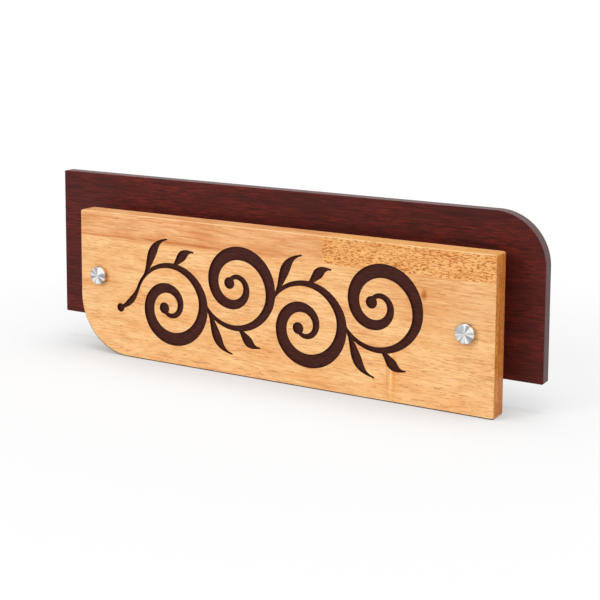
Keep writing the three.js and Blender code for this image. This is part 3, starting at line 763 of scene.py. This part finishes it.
def turned_steel(name, settings, centre):
    """Stainless steel, faced and polished on a lathe. The eye gets bright opposite fans of light that meet
    in the middle of the face, because the fine rings that the tool leaves spread the shine from the middle
    outwards, and between them lighter and darker sectors of painted reflection, laid in the base colour."""
    material, add = new_material(name)
    place = add("ShaderNodeTexCoord", output="Object")
    # Painted reflection: noise about each cap's middle lays lighter and darker sectors into the steel's
    # colour
    offset = add("ShaderNodeVectorMath", {0: place, 1: centre}, operation="SUBTRACT")
    aside = add("ShaderNodeVectorMath", {0: offset, 1: (1, 0, 1)}, operation="MULTIPLY")
    aim = add("ShaderNodeVectorMath", {0: aside}, operation="NORMALIZE")
    own = tuple(part / (SECTOR_DRAW * MM) for part in centre)
    moved = add("ShaderNodeVectorMath", {0: aim, 1: own}, operation="ADD")
    sectors = add("ShaderNodeTexNoise", {"Vector": moved, "Scale": settings.sectors, "Detail": 2.0})
    painted_reflection = add("ShaderNodeMapRange", {"Value": sectors, "From Min": 0.4, "From Max": 0.58})
    steel = layered(add, settings.steel_dark_reflection, (painted_reflection, settings.steel))
    smudge = mottle(add, place, (5, 5, 5), 0.35, 0.65, detail=3.0)
    faced = add("ShaderNodeMapRange", {"Value": smudge, "To Min": 0.42, "To Max": 0.5})
    frontwise = facing_along(add, "Y")
    polish = {"Value": frontwise, "From Min": 0.2, "From Max": 0.8, "To Min": 0.16, "To Max": faced}
    rough = add("ShaderNodeMapRange", polish)
    tangent = add("ShaderNodeTangent", direction_type="RADIAL", axis="Y")
    finish_material(add, {
        "Base Color": steel, "Metallic": 1.0, "Roughness": rough, "Anisotropic": 0.86,
        "Anisotropic Rotation": 0.25, "Tangent": tangent,
    })
    return material


def zinc_steel(settings):
    """Steel screw with bright zinc plating. The eye gets a cool grey metal with a soft, patchy shine."""
    material, add = new_material("zinc_steel")
    place = add("ShaderNodeTexCoord", output="Object")
    patches = mottle(add, place, (1.6, 1.6, 1.6), 0.35, 0.65, detail=3.0)
    rough = add("ShaderNodeMapRange", {"Value": patches, "To Min": 0.3, "To Max": 0.45})
    look = {"Base Color": settings.zinc, "Metallic": 1.0, "Roughness": rough}
    finish_material(add, look, patches, strength=0.15, depth=0.03)
    return material


def natural_nylon(settings):
    """Natural nylon, punched from sheet. The eye gets a milky white plastic that lets a little light in."""
    material, add = new_material("natural_nylon")
    place = add("ShaderNodeTexCoord", output="Object")
    cloud = mottle(add, place, (2, 2, 2), 0.3, 0.7)
    rough = add("ShaderNodeMapRange", {"Value": cloud, "To Min": 0.42, "To Max": 0.52})
    finish_material(add, {
        "Base Color": settings.nylon, "Roughness": rough, "Subsurface Weight": 0.2, "Subsurface Scale": MM,
    })
    return material


def shown_ray(add):
    """1 where the background is seen, mirrored or seen through something, and 0 where it only lights."""
    seen = add("ShaderNodeLightPath", output="Is Camera Ray")
    mirrored = add("ShaderNodeLightPath", output="Is Glossy Ray")
    through = add("ShaderNodeLightPath", output="Is Transmission Ray")
    direct = add("ShaderNodeMath", {0: seen, 1: mirrored}, operation="MAXIMUM")
    return add("ShaderNodeMath", {0: direct, 1: through}, operation="MAXIMUM")


def studio_paper(settings):
    """Matt white paper under the plate. The eye gets a plain pale floor that fades to white and keeps the
    shadow, with a soft shade where the plate stands close to it."""
    material, add = new_material("studio_paper")
    around = {"Distance": settings.shade_reach}
    nearness = add("ShaderNodeAmbientOcclusion", around, output="AO", samples=16)
    levels = {"Value": nearness, "To Min": settings.shade_level, "To Max": 1.0}
    shade = add("ShaderNodeMapRange", levels, interpolation_type="SMOOTHSTEP")
    paper = add("ShaderNodeBsdfDiffuse", {"Color": settings.floor})
    white = add("ShaderNodeEmission", {"Color": (1, 1, 1), "Strength": shade})
    place = add("ShaderNodeTexCoord", output="Object")
    distance = add("ShaderNodeVectorMath", {0: place}, output="Value", operation="LENGTH")
    fade = {
        "Value": distance, "From Min": settings.fade_start, "From Max": settings.fade_end,
        "To Min": settings.white_near, "To Max": 1.0,
    }
    far = add("ShaderNodeMapRange", fade, interpolation_type="SMOOTHSTEP")
    share = add("ShaderNodeMath", {0: far, 1: shown_ray(add)}, operation="MULTIPLY")
    mixed = add("ShaderNodeMixShader", {0: share, 1: paper, 2: white})
    add("ShaderNodeOutputMaterial", {"Surface": mixed})
    return material


# The front board

def finger_line(near, far, low, high, settings):
    """The zigzag of a finger joint through the board, seen from above, from behind it to in front of it."""
    first = high.y - settings.finger_shoulder
    pitch = (high.y - low.y - 2 * settings.finger_shoulder) / settings.fingers
    tip = settings.finger_tip / 2
    points = [(near, high.y + CUT_MARGIN)]
    for i in range(settings.fingers):
        start = first - i * pitch
        points += [(near, start - tip), (far, start - pitch / 2 + tip)]
        points += [(far, start - pitch / 2 - tip), (near, start - pitch + tip)]
    return points + [(near, low.y - CUT_MARGIN)]


def stave_room(left, right, foot, head):
    """The room that a stave takes between two lines seen from above and two glue lines."""
    plan = left + right[::-1]
    return lofted("room", [[Vector((x, y, z)) for x, y in plan] for z in (foot, head)])


def stave_rooms(low, high, settings):
    """The rooms of all staves by name."""
    ends = (high.y + CUT_MARGIN, low.y - CUT_MARGIN)
    left_end = [(low.x - CUT_MARGIN, y) for y in ends]
    right_end = [(high.x + CUT_MARGIN, y) for y in ends]
    lower_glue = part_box("stave_middle")[0].z
    upper_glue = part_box("stave_middle")[1].z
    rooms = {"stave_middle": stave_room(left_end, right_end, lower_glue, upper_glue)}
    rows = {"top": (upper_glue, high.z + CUT_MARGIN), "bottom": (low.z - CUT_MARGIN, lower_glue)}
    for row, levels in rows.items():
        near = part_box(f"stave_{row}_right")[0].x
        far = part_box(f"stave_{row}_left")[1].x
        joint = finger_line(near, far, low, high, settings)
        rooms[f"stave_{row}_left"] = stave_room(left_end, joint, *levels)
        rooms[f"stave_{row}_right"] = stave_room(joint, right_end, *levels)
    return rooms


# The running scroll, drawn in width and height about its middle

def stroke_outline(path, start, full, end, fullest_at, grow):
    """The outline of a brush stroke, which swells to its fullest, thins to its end, and has round ends."""
    left = []
    right = []
    aims = []
    for i, point in enumerate(path):
        along = i / (len(path) - 1)
        rising = along < fullest_at
        share = along / fullest_at if rising else (1 - along) / (1 - fullest_at)
        thin = start if rising else end
        half = (thin + (full - thin) * share * share * (3 - 2 * share)) / 2 + grow
        aim = (path[min(i + 1, len(path) - 1)] - path[max(i - 1, 0)]).normalized()
        aside = Vector((-aim.y, aim.x))
        left.append(point + aside * half)
        right.append(point - aside * half)
        aims.append(aim)
    tip = round_end(path[-1], aims[-1], end / 2 + grow)
    root = round_end(path[0], -aims[0], start / 2 + grow)
    return right + tip + left[::-1] + root


def round_end(point, aim, radius):
    """The half circle that closes a stroke, beyond its last point."""
    first = math.degrees(math.atan2(aim.y, aim.x)) - 90
    steps = range(1, STROKE_END_STEPS)
    return [point + heading(first + 180 * i / STROKE_END_STEPS) * radius for i in steps]


def ball_outline(centre, radius):
    return [centre + heading(360 * i / BALL_STEPS) * radius for i in range(BALL_STEPS)]


def bay_path(drawn, entry, round_sweep, curl_sweep):
    """A path round a bay's centre, in degrees, that winds inwards, ever faster, past its round sweep."""
    radius = math.hypot(drawn.pitch / 2, drawn.lift)
    whole = round_sweep + curl_sweep
    steps = round(abs(whole) / CURL_STEP_DEGREES)
    points = []
    for i in range(steps + 1):
        sweep = whole * i / steps
        curled = max(0, (sweep - round_sweep) / curl_sweep) if curl_sweep else 0
        winding = radius * (drawn.eye / radius) ** (curled ** drawn.curl_ease)
        points.append(Vector((0, -drawn.lift)) + heading(entry + sweep) * winding)
    return points


def leaf_path(drawn, root, sets_off, tip_aside, tip_beyond, ends):
    """A leaf's bend, from its root on the vine's crown, in degrees, to its tip, in millimetres beside it."""
    radius = math.hypot(drawn.pitch / 2, drawn.lift)
    base = Vector((0, -drawn.lift)) + heading(root) * radius
    tip = Vector((tip_aside * MM, radius - drawn.lift + tip_beyond * MM))
    reach = (tip - base).length * drawn.leaf_bend
    bend = interpolate_bezier(
        base, base + heading(sets_off) * reach, tip - heading(ends) * reach, tip, LEAF_STEPS + 1,
    )
    return [point.to_2d() for point in bend]


def bay_strokes(drawn):
    """The rule that draws a bay's strokes, hung below the middle line, each grown by a margin."""
    lean = math.degrees(math.atan2(drawn.lift, drawn.pitch / 2))
    vine = bay_path(drawn, 180 - lean, 2 * lean - 180, -math.degrees(drawn.curl))
    leaves = (
        leaf_path(drawn, root=138, sets_off=62, tip_aside=-3, tip_beyond=23, ends=12),
        leaf_path(drawn, root=84, sets_off=40, tip_aside=25, tip_beyond=14, ends=-8),
    )

    def outlines(grow):
        vine_ends = (drawn.start_width, drawn.full_width, drawn.end_width, drawn.fullest_at)
        leaf_ends = (drawn.start_width, drawn.leaf_width, drawn.leaf_tip, 0.5)
        return [
            stroke_outline(vine, *vine_ends, grow),
            ball_outline(vine[-1], drawn.eye_ball + grow),
            *(stroke_outline(leaf, *leaf_ends, grow) for leaf in leaves),
        ]

    return outlines


def tail_strokes(drawn):
    """The rule that draws the scroll's short first end, which stands above the middle line."""
    lean = math.degrees(math.atan2(drawn.lift, drawn.pitch / 2))
    arc = bay_path(drawn, lean + math.degrees(drawn.tail), -math.degrees(drawn.tail), 0)
    before = Vector((-(drawn.bays + 1) / 2 * drawn.pitch, 0))
    path = [before + Vector((point.x, -point.y)) for point in arc]

    def outlines(grow):
        ends = (drawn.start_width, drawn.tail_width, drawn.start_width, 0.5)
        return [stroke_outline(path, *ends, grow), ball_outline(path[0], drawn.tail_ball + grow)]

    return outlines


def stroke_cutter(name, outlines, size, drawn, front):
    """Cutters for strokes: straight walls from the pocket's floor to an eased lip, and past the face."""
    levels = ((drawn.depth, 0), (drawn.lip, 0), (-CUT_MARGIN, drawn.lip + CUT_MARGIN))
    layers = [outlines(grow / size) for _, grow in levels]
    work = bmesh.new()
    for stroke in zip(*layers):
        rings = [
            [Vector((point.x * size, front + depth, point.y * size)) for point in outline]
            for (depth, _), outline in zip(levels, stroke)
        ]
        single = lofted(name, rings)
        work.from_mesh(single)
        bpy.data.meshes.remove(single)
    mesh = bpy.data.meshes.new(name)
    work.to_mesh(mesh)
    work.free()
    return mesh


def scroll_pocket(drawn, low, high, paint):
    """The cutter of the whole scroll, fitted between the caps and between the board's edges."""
    left = axis_of("left_cap")
    right = axis_of("right_cap")
    cap_low, cap_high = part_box("left_cap")
    across = right.x - left.x - (cap_high.x - cap_low.x) - 2 * drawn.from_cap
    drawn_across = (drawn.bays + 1) * drawn.pitch - drawn.lift
    drawn_up = 2 * (drawn.lift + math.hypot(drawn.pitch / 2, drawn.lift)) + drawn.full_width
    size = min(across / drawn_across, (high.z - low.z - 2 * drawn.from_edge) / drawn_up)
    bay = stroke_cutter("bay", bay_strokes(drawn), size, drawn, low.y)
    tail = tool("tail", stroke_cutter("tail", tail_strokes(drawn), size, drawn, low.y))
    inputs = {"Tail": tail, "Bays": drawn.bays, "Pitch": drawn.pitch * size, "Material": paint}
    pocket = grown("scroll_pocket", running_scroll_tree(), bay, inputs)
    pocket.transform(Matrix.Translation(((left.x + right.x) / 2, 0, (low.z + high.z) / 2)))
    put_away(tail)
    return pocket


# Turned pieces, drawn as profiles of radius and place along the axis

def profile_mesh(name, profile):
    """A turned piece's profile as a line of points."""
    links = [(i, i + 1) for i in range(len(profile) - 1)]
    return plain_mesh(name, [(radius, along, 0) for radius, along in profile], edges=links)


def threaded(radius, start, end, pitch):
    """The points of a profile along a threaded length, close enough together to show every ridge."""
    steps = max(1, round(abs(end - start) / pitch * STEPS_PER_THREAD))
    return [(radius, start + (end - start) * i / steps) for i in range(steps + 1)]


def turned_mesh(name, profile, material, settings, thread=(0, 0)):
    """A turned piece about Y at the origin, threaded between two places along it where they differ."""
    start, end = thread
    inputs = {
        "Steps": ROUND_STEPS,
        "Thread Pitch": settings.thread_pitch,
        "Thread Depth": settings.thread_depth if end > start else 0.0,
        "Thread Start": start,
        "Thread End": end if end > start else start + 2 * settings.thread_pitch,
        "Material": material,
    }
    return grown(name, turned_piece_tree(), profile_mesh(name, profile), inputs)


def add_turned(node, mesh, slot, body="plate"):
    """A turned mesh, drawn at the place it has along its axis, as its node's finished piece."""
    mesh.transform(Matrix.Translation(at_depth(axis_of(node), 0)))
    add_piece(node, mesh, slot, body)


class NAMEPLATE_OT_front_board(bpy.types.Operator):
    """Makes the five staves of the front board, with the painted scroll cut into their faces"""
    bl_idname = "name_plate.front_board"
    bl_label = "Front board"

    def execute(self, context):
        settings = context.scene.name_plate
        board = settings.board
        low, high = box_of(*STAVES)
        paint = routing_paint(settings.scroll)
        plain = (board.plain, board.plain_deep)
        speckled = (board.speckled, board.speckled_deep)
        woods = {
            "stave_top_left": ("wood_rosy", (board.rosy, board.rosy_deep), (0, 0, 0), 0.25, 0.9),
            "stave_top_right": ("wood_speckled", speckled, (90, 40, 10), 1.0, 0.2),
            "stave_middle": ("wood_plain", plain, (10, 80, 35), 0.3, 0.35),
            "stave_bottom_left": ("wood_plain", plain, (60, 20, 70), 0.4, 0.2),
            "stave_bottom_right": ("wood_rosy", plain, (160, 60, 95), 0.45, 0.4),
        }
        marks = self.wood_marks(board)
        radii = (board.round_corner, board.small_corner, board.small_corner, board.small_corner)
        blank = slab("board", low, high, radii, board.arris, ARRIS_STEPS)
        centres = [axis_of(f"{side}_cap") for side in SIDES]
        hole = board.stud_hole / 2
        reach = high.y - low.y + 2 * CUT_MARGIN
        rod = [(0, -reach), (hole, -reach), (hole, reach), (0, reach)]
        drill = turned_mesh("drill", rod, None, settings.standoff)
        drilled = cut_at("drilled_board", blank, drill, centres, None)
        pocket = tool("pocket", scroll_pocket(settings.scroll, low, high, paint))
        tree = carved_stave_tree()
        rooms = stave_rooms(low, high, board)
        for node in STAVES:
            slot, tones, seed, pores, streaks = woods[node]
            wood = rubberwood("rubberwood_" + node, *tones, board, seed, pores, streaks, marks.get(node, ()))
            room = tool("room", rooms[node])
            inputs = {"Room": room, "Pocket": pocket, "Paint": paint, "Wood": wood}
            add_piece(node, grown(node, tree, drilled, inputs), slot, "plate")
            put_away(room)
        put_away(pocket)
        return {"FINISHED"}

    def wood_marks(self, board):
        """The marks of single staves, as soft_marks takes them: a wavy red vein, a fleck, a painted shadow
        round each cap, and the lines of the lower joint."""
        return {
            "stave_top_left": (
                (-95, 17, 110, 3.4, board.rosy_deep, 0.35),
                (-70, 16.4, 110, 1.5, board.pore_and_shadow, 0.8),
            ),
            "stave_middle": (
                (-84, 14, 100, 1.6, board.streak, 0.4),
                (150, 0, 90, 30, board.rosy_deep, 0.5),
                (143.8, 0, 3.2, 5.6, board.pore_and_shadow, 1.0),
                # Painted shadow of each cap on the board: a soft dark disc a little off the cap's middle
                (-164.4, -20.4, 10.8, 10.8, board.pore_and_shadow, 0.9),
                (180, -26, 10.8, 10.8, board.pore_and_shadow, 0.9),
            ),
            "stave_bottom_left": (
                (113.4, -60, 1.6, 30, board.streak, 0.5),
            ),
            "stave_bottom_right": (
                (165, -62, 80, 40, board.plain, 0.6),
                (118.4, -60, 6, 34, board.glue_stain, 0.8),
                (116.6, -60, 1.2, 30, board.glue, 1.0),
                (119.6, -60, 0.9, 24, board.streak, 0.4),
            ),
        }


class NAMEPLATE_OT_back_plate(bpy.types.Operator):
    """Makes the back plate's core and its two laminates, drilled and countersunk for the screws"""
    bl_idname = "name_plate.back_plate"
    bl_label = "Back plate"

    def execute(self, context):
        settings = context.scene.name_plate
        plate = settings.plate
        standoff = settings.standoff
        layers = {
            "back_rear_laminate": ("rear_laminate", backing_laminate(plate)),
            "back_core": ("core_board", sealed_core(plate)),
            "back_face_laminate": ("face_laminate", rosewood_laminate(plate)),
        }
        low, high = box_of(*layers)
        head = turned_size("left_screw")[2] + standoff.screw_clearance
        hole = standoff.washer_bore / 2
        rim = high.y - standoff.screw_below - standoff.screw_rim
        profile = [
            (0, low.y - CUT_MARGIN), (hole, low.y - CUT_MARGIN), (hole, rim - head + hole), (head, rim),
            (head, high.y + CUT_MARGIN), (0, high.y + CUT_MARGIN),
        ]
        drill = turned_mesh("countersink", profile, None, standoff)
        centres = [at_depth(axis_of(f"{side}_screw"), 0) for side in SIDES]
        radii = (plate.small_corner, plate.small_corner, plate.round_corner, plate.small_corner)
        for node, (slot, material) in layers.items():
            blank = slab(node, *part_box(node), radii, plate.arris, CHAMFER_STEPS)
            add_piece(node, cut_at(node, blank, drill, centres, material), slot, "plate")
        return {"FINISHED"}


class NAMEPLATE_OT_caps(bpy.types.Operator):
    """Makes the two caps with their threaded studs"""
    bl_idname = "name_plate.caps"
    bl_label = "Caps"

    def execute(self, context):
        settings = context.scene.name_plate.standoff
        for side in SIDES:
            node = f"{side}_cap"
            steel = turned_steel(f"turned_steel_{side}", settings, axis_of(node))
            front, rear, radius = turned_size(node)
            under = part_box(f"{side}_cap_washer")[0].y
            chamfer = settings.cap_chamfer
            edge = settings.edge
            stud = settings.thread / 2
            tip = rear - settings.chamfer
            half_ring = settings.ring_width / 2
            steps = 2 * round((radius - chamfer - edge) / settings.ring_width)
            profile = [
                (0, front),
                *((i * half_ring, front + i % 2 * settings.ring_depth) for i in range(1, steps)),
                (radius - chamfer - edge, front), (radius - chamfer + edge, front + edge),
                (radius - edge, front + chamfer - edge), (radius, front + chamfer + edge),
                (radius, under - edge), (radius - edge, under),
                *threaded(stud, under, tip, settings.thread_pitch),
                (stud - settings.chamfer, rear), (0, rear),
            ]
            mesh = turned_mesh(node, profile, steel, settings, (under, tip))
            add_turned(node, mesh, "turned_steel", node)
        return {"FINISHED"}


class NAMEPLATE_OT_barrels(bpy.types.Operator):
    """Makes the two barrels that hold the boards apart"""
    bl_idname = "name_plate.barrels"
    bl_label = "Barrels"

    def execute(self, context):
        settings = context.scene.name_plate.standoff
        for side in SIDES:
            node = f"{side}_barrel"
            steel = turned_steel(f"turned_steel_{side}_barrel", settings, axis_of(node))
            front, rear, radius = turned_size(node)
            bore = settings.bore / 2
            chamfer = settings.chamfer
            profile = [
                (bore + chamfer, front), (radius - chamfer, front), (radius, front + chamfer),
                (radius, rear - chamfer), (radius - chamfer, rear), (bore + chamfer, rear),
                (bore, rear - chamfer), (bore, front + chamfer), (bore + chamfer, front),
            ]
            add_turned(node, turned_mesh(node, profile, steel, settings), "turned_steel")
        return {"FINISHED"}


class NAMEPLATE_OT_washers(bpy.types.Operator):
    """Makes the six nylon washers, one at each face that steel bears on"""
    bl_idname = "name_plate.washers"
    bl_label = "Washers"

    def execute(self, context):
        settings = context.scene.name_plate.standoff
        nylon = natural_nylon(settings)
        bore = settings.washer_bore / 2
        edge = settings.edge
        for side in SIDES:
            for seat, body in (("plate", "plate"), ("board", "plate"), ("cap", f"{side}_washer")):
                node = f"{side}_{seat}_washer"
                front, rear, radius = turned_size(node)
                profile = [
                    (bore, front), (radius - edge, front), (radius, front + edge), (radius, rear - edge),
                    (radius - edge, rear), (bore, rear), (bore, front),
                ]
                add_turned(node, turned_mesh(node, profile, nylon, settings), "nylon", body)
        return {"FINISHED"}


class NAMEPLATE_OT_screws(bpy.types.Operator):
    """Makes the two countersunk screws that hold the barrels to the back plate"""
    bl_idname = "name_plate.screws"
    bl_label = "Screws"

    def execute(self, context):
        settings = context.scene.name_plate.standoff
        zinc = zinc_steel(settings)
        slot = settings.recess_slot / 2
        span = settings.recess_span / 2
        stud = settings.thread / 2
        levels = (
            (-CUT_MARGIN, span * settings.recess_flare), (0, span),
            (settings.recess_depth, span * settings.recess_taper),
        )
        for side in SIDES:
            node = f"{side}_screw"
            front, rear, head = turned_size(node)
            tip = front + settings.chamfer
            neck = rear - settings.screw_rim - (head - stud)
            profile = [
                (0, front), (stud - settings.chamfer, front),
                *threaded(stud, tip, neck, settings.thread_pitch),
                (head, rear - settings.screw_rim), (head, rear - settings.edge),
                (head - settings.edge, rear), (0, rear),
            ]
            shank = turned_mesh(node, profile, zinc, settings, (tip, neck))
            arm = lofted("arm", [
                [Vector((x * wide, rear - depth, z * slot)) for x, z in SQUARE] for depth, wide in levels
            ])
            mesh = cut_at(node, shank, arm, [(0, 0, 0)] * 2, zinc, turn=math.pi / 2)
            add_turned(node, mesh, "zinc_steel")
        return {"FINISHED"}


class NAMEPLATE_OT_stage(bpy.types.Operator):
    """Makes the pale floor, the soft studio light and the camera"""
    bl_idname = "name_plate.stage"
    bl_label = "Stage"

    def execute(self, context):
        settings = context.scene.name_plate.studio
        scene = context.scene
        scene.view_settings.view_transform = "Standard"
        foot = CAD_BOX[0][2]
        reach = settings.floor_reach
        corners = [(x * reach, y * reach, foot) for x, y in SQUARE]
        floor = tool("floor", plain_mesh("floor", corners, [(0, 1, 2, 3)]))
        floor.data.materials.append(studio_paper(settings))
        self.light_room(scene, settings)
        for name, place, size, power in (
            ("key_lamp", settings.key_place, settings.key_size, settings.key),
            ("top_lamp", settings.top_place, settings.lamp_size, settings.top),
            ("fill_lamp", settings.fill_place, settings.lamp_size, settings.fill),
        ):
            self.add_lamp(scene, name, place, size, power)
        self.add_camera(scene, settings)
        return {"FINISHED"}

    def light_room(self, scene, settings):
        """A room that lights evenly from all around, and is white where it is seen or mirrored."""
        world = bpy.data.worlds.new("white_room")
        world.use_nodes = True
        world.node_tree.nodes.clear()
        add = partial(add_node, world.node_tree)
        lit = add("ShaderNodeBackground", {"Color": (1, 1, 1), "Strength": settings.room})
        white = add("ShaderNodeBackground", {"Color": (1, 1, 1), "Strength": 1.0})
        mixed = add("ShaderNodeMixShader", {0: shown_ray(add), 1: lit, 2: white})
        add("ShaderNodeOutputWorld", {"Surface": mixed})
        scene.world = world

    def add_lamp(self, scene, name, place, size, power):
        """A square soft lamp aimed at the middle of the plate."""
        light = bpy.data.lights.new(name, "AREA")
        light.shape = "SQUARE"
        light.size = size
        light.energy = power
        lamp = bpy.data.objects.new(name, light)
        lamp.location = place
        lamp.rotation_euler = (-lamp.location).to_track_quat("-Z", "Y").to_euler()
        scene.collection.objects.link(lamp)

    def add_camera(self, scene, settings):
        """The camera, with the photograph's angle of view."""
        lens = bpy.data.cameras.new("camera")
        lens.lens = settings.lens
        lens.shift_y = settings.shift
        camera = bpy.data.objects.new("camera", lens)
        turn = Matrix.Rotation(settings.yaw, 4, "Z") @ Matrix.Rotation(math.pi / 2 - settings.pitch, 4, "X")
        turn = turn @ Matrix.Rotation(settings.roll, 4, "Z")
        camera.matrix_world = Matrix.Translation(settings.camera_place) @ turn
        scene.collection.objects.link(camera)
        scene.camera = camera


class NAMEPLATE_PT_panel(bpy.types.Panel):
    """Lists the name plate's settings and the operators that make its pieces"""
    bl_idname = "NAMEPLATE_PT_panel"
    bl_label = "Name Plate"
    bl_space_type = "VIEW_3D"
    bl_region_type = "UI"
    bl_category = "Name Plate"

    def draw(self, context):
        settings = context.scene.name_plate
        for title, group in (
            ("Front board", settings.board), ("Scroll", settings.scroll), ("Back plate", settings.plate),
            ("Standoffs", settings.standoff), ("Studio", settings.studio),
        ):
            column = self.layout.column(align=True)
            column.label(text=title)
            for name in group.__annotations__:
                column.prop(group, name)
        for operator in OPERATORS:
            self.layout.operator(operator.bl_idname)


SETTINGS = (
    BoardSettings, ScrollSettings, PlateSettings, StandoffSettings, StudioSettings, NamePlateSettings,
)
OPERATORS = (
    NAMEPLATE_OT_front_board,
    NAMEPLATE_OT_back_plate,
    NAMEPLATE_OT_caps,
    NAMEPLATE_OT_barrels,
    NAMEPLATE_OT_washers,
    NAMEPLATE_OT_screws,
    NAMEPLATE_OT_stage,
)


def register():
    for kind in (*SETTINGS, *OPERATORS, NAMEPLATE_PT_panel):
        bpy.utils.register_class(kind)
    bpy.types.Scene.name_plate = PointerProperty(type=NamePlateSettings)


def unregister():
    del bpy.types.Scene.name_plate
    for kind in (NAMEPLATE_PT_panel, *reversed(OPERATORS), *reversed(SETTINGS)):
        bpy.utils.unregister_class(kind)


def main():
    register()
    bpy.ops.name_plate.stage()
    bpy.ops.name_plate.front_board()
    bpy.ops.name_plate.back_plate()
    bpy.ops.name_plate.caps()
    bpy.ops.name_plate.barrels()
    bpy.ops.name_plate.washers()
    bpy.ops.name_plate.screws()


if __name__ == "__main__":
    main()
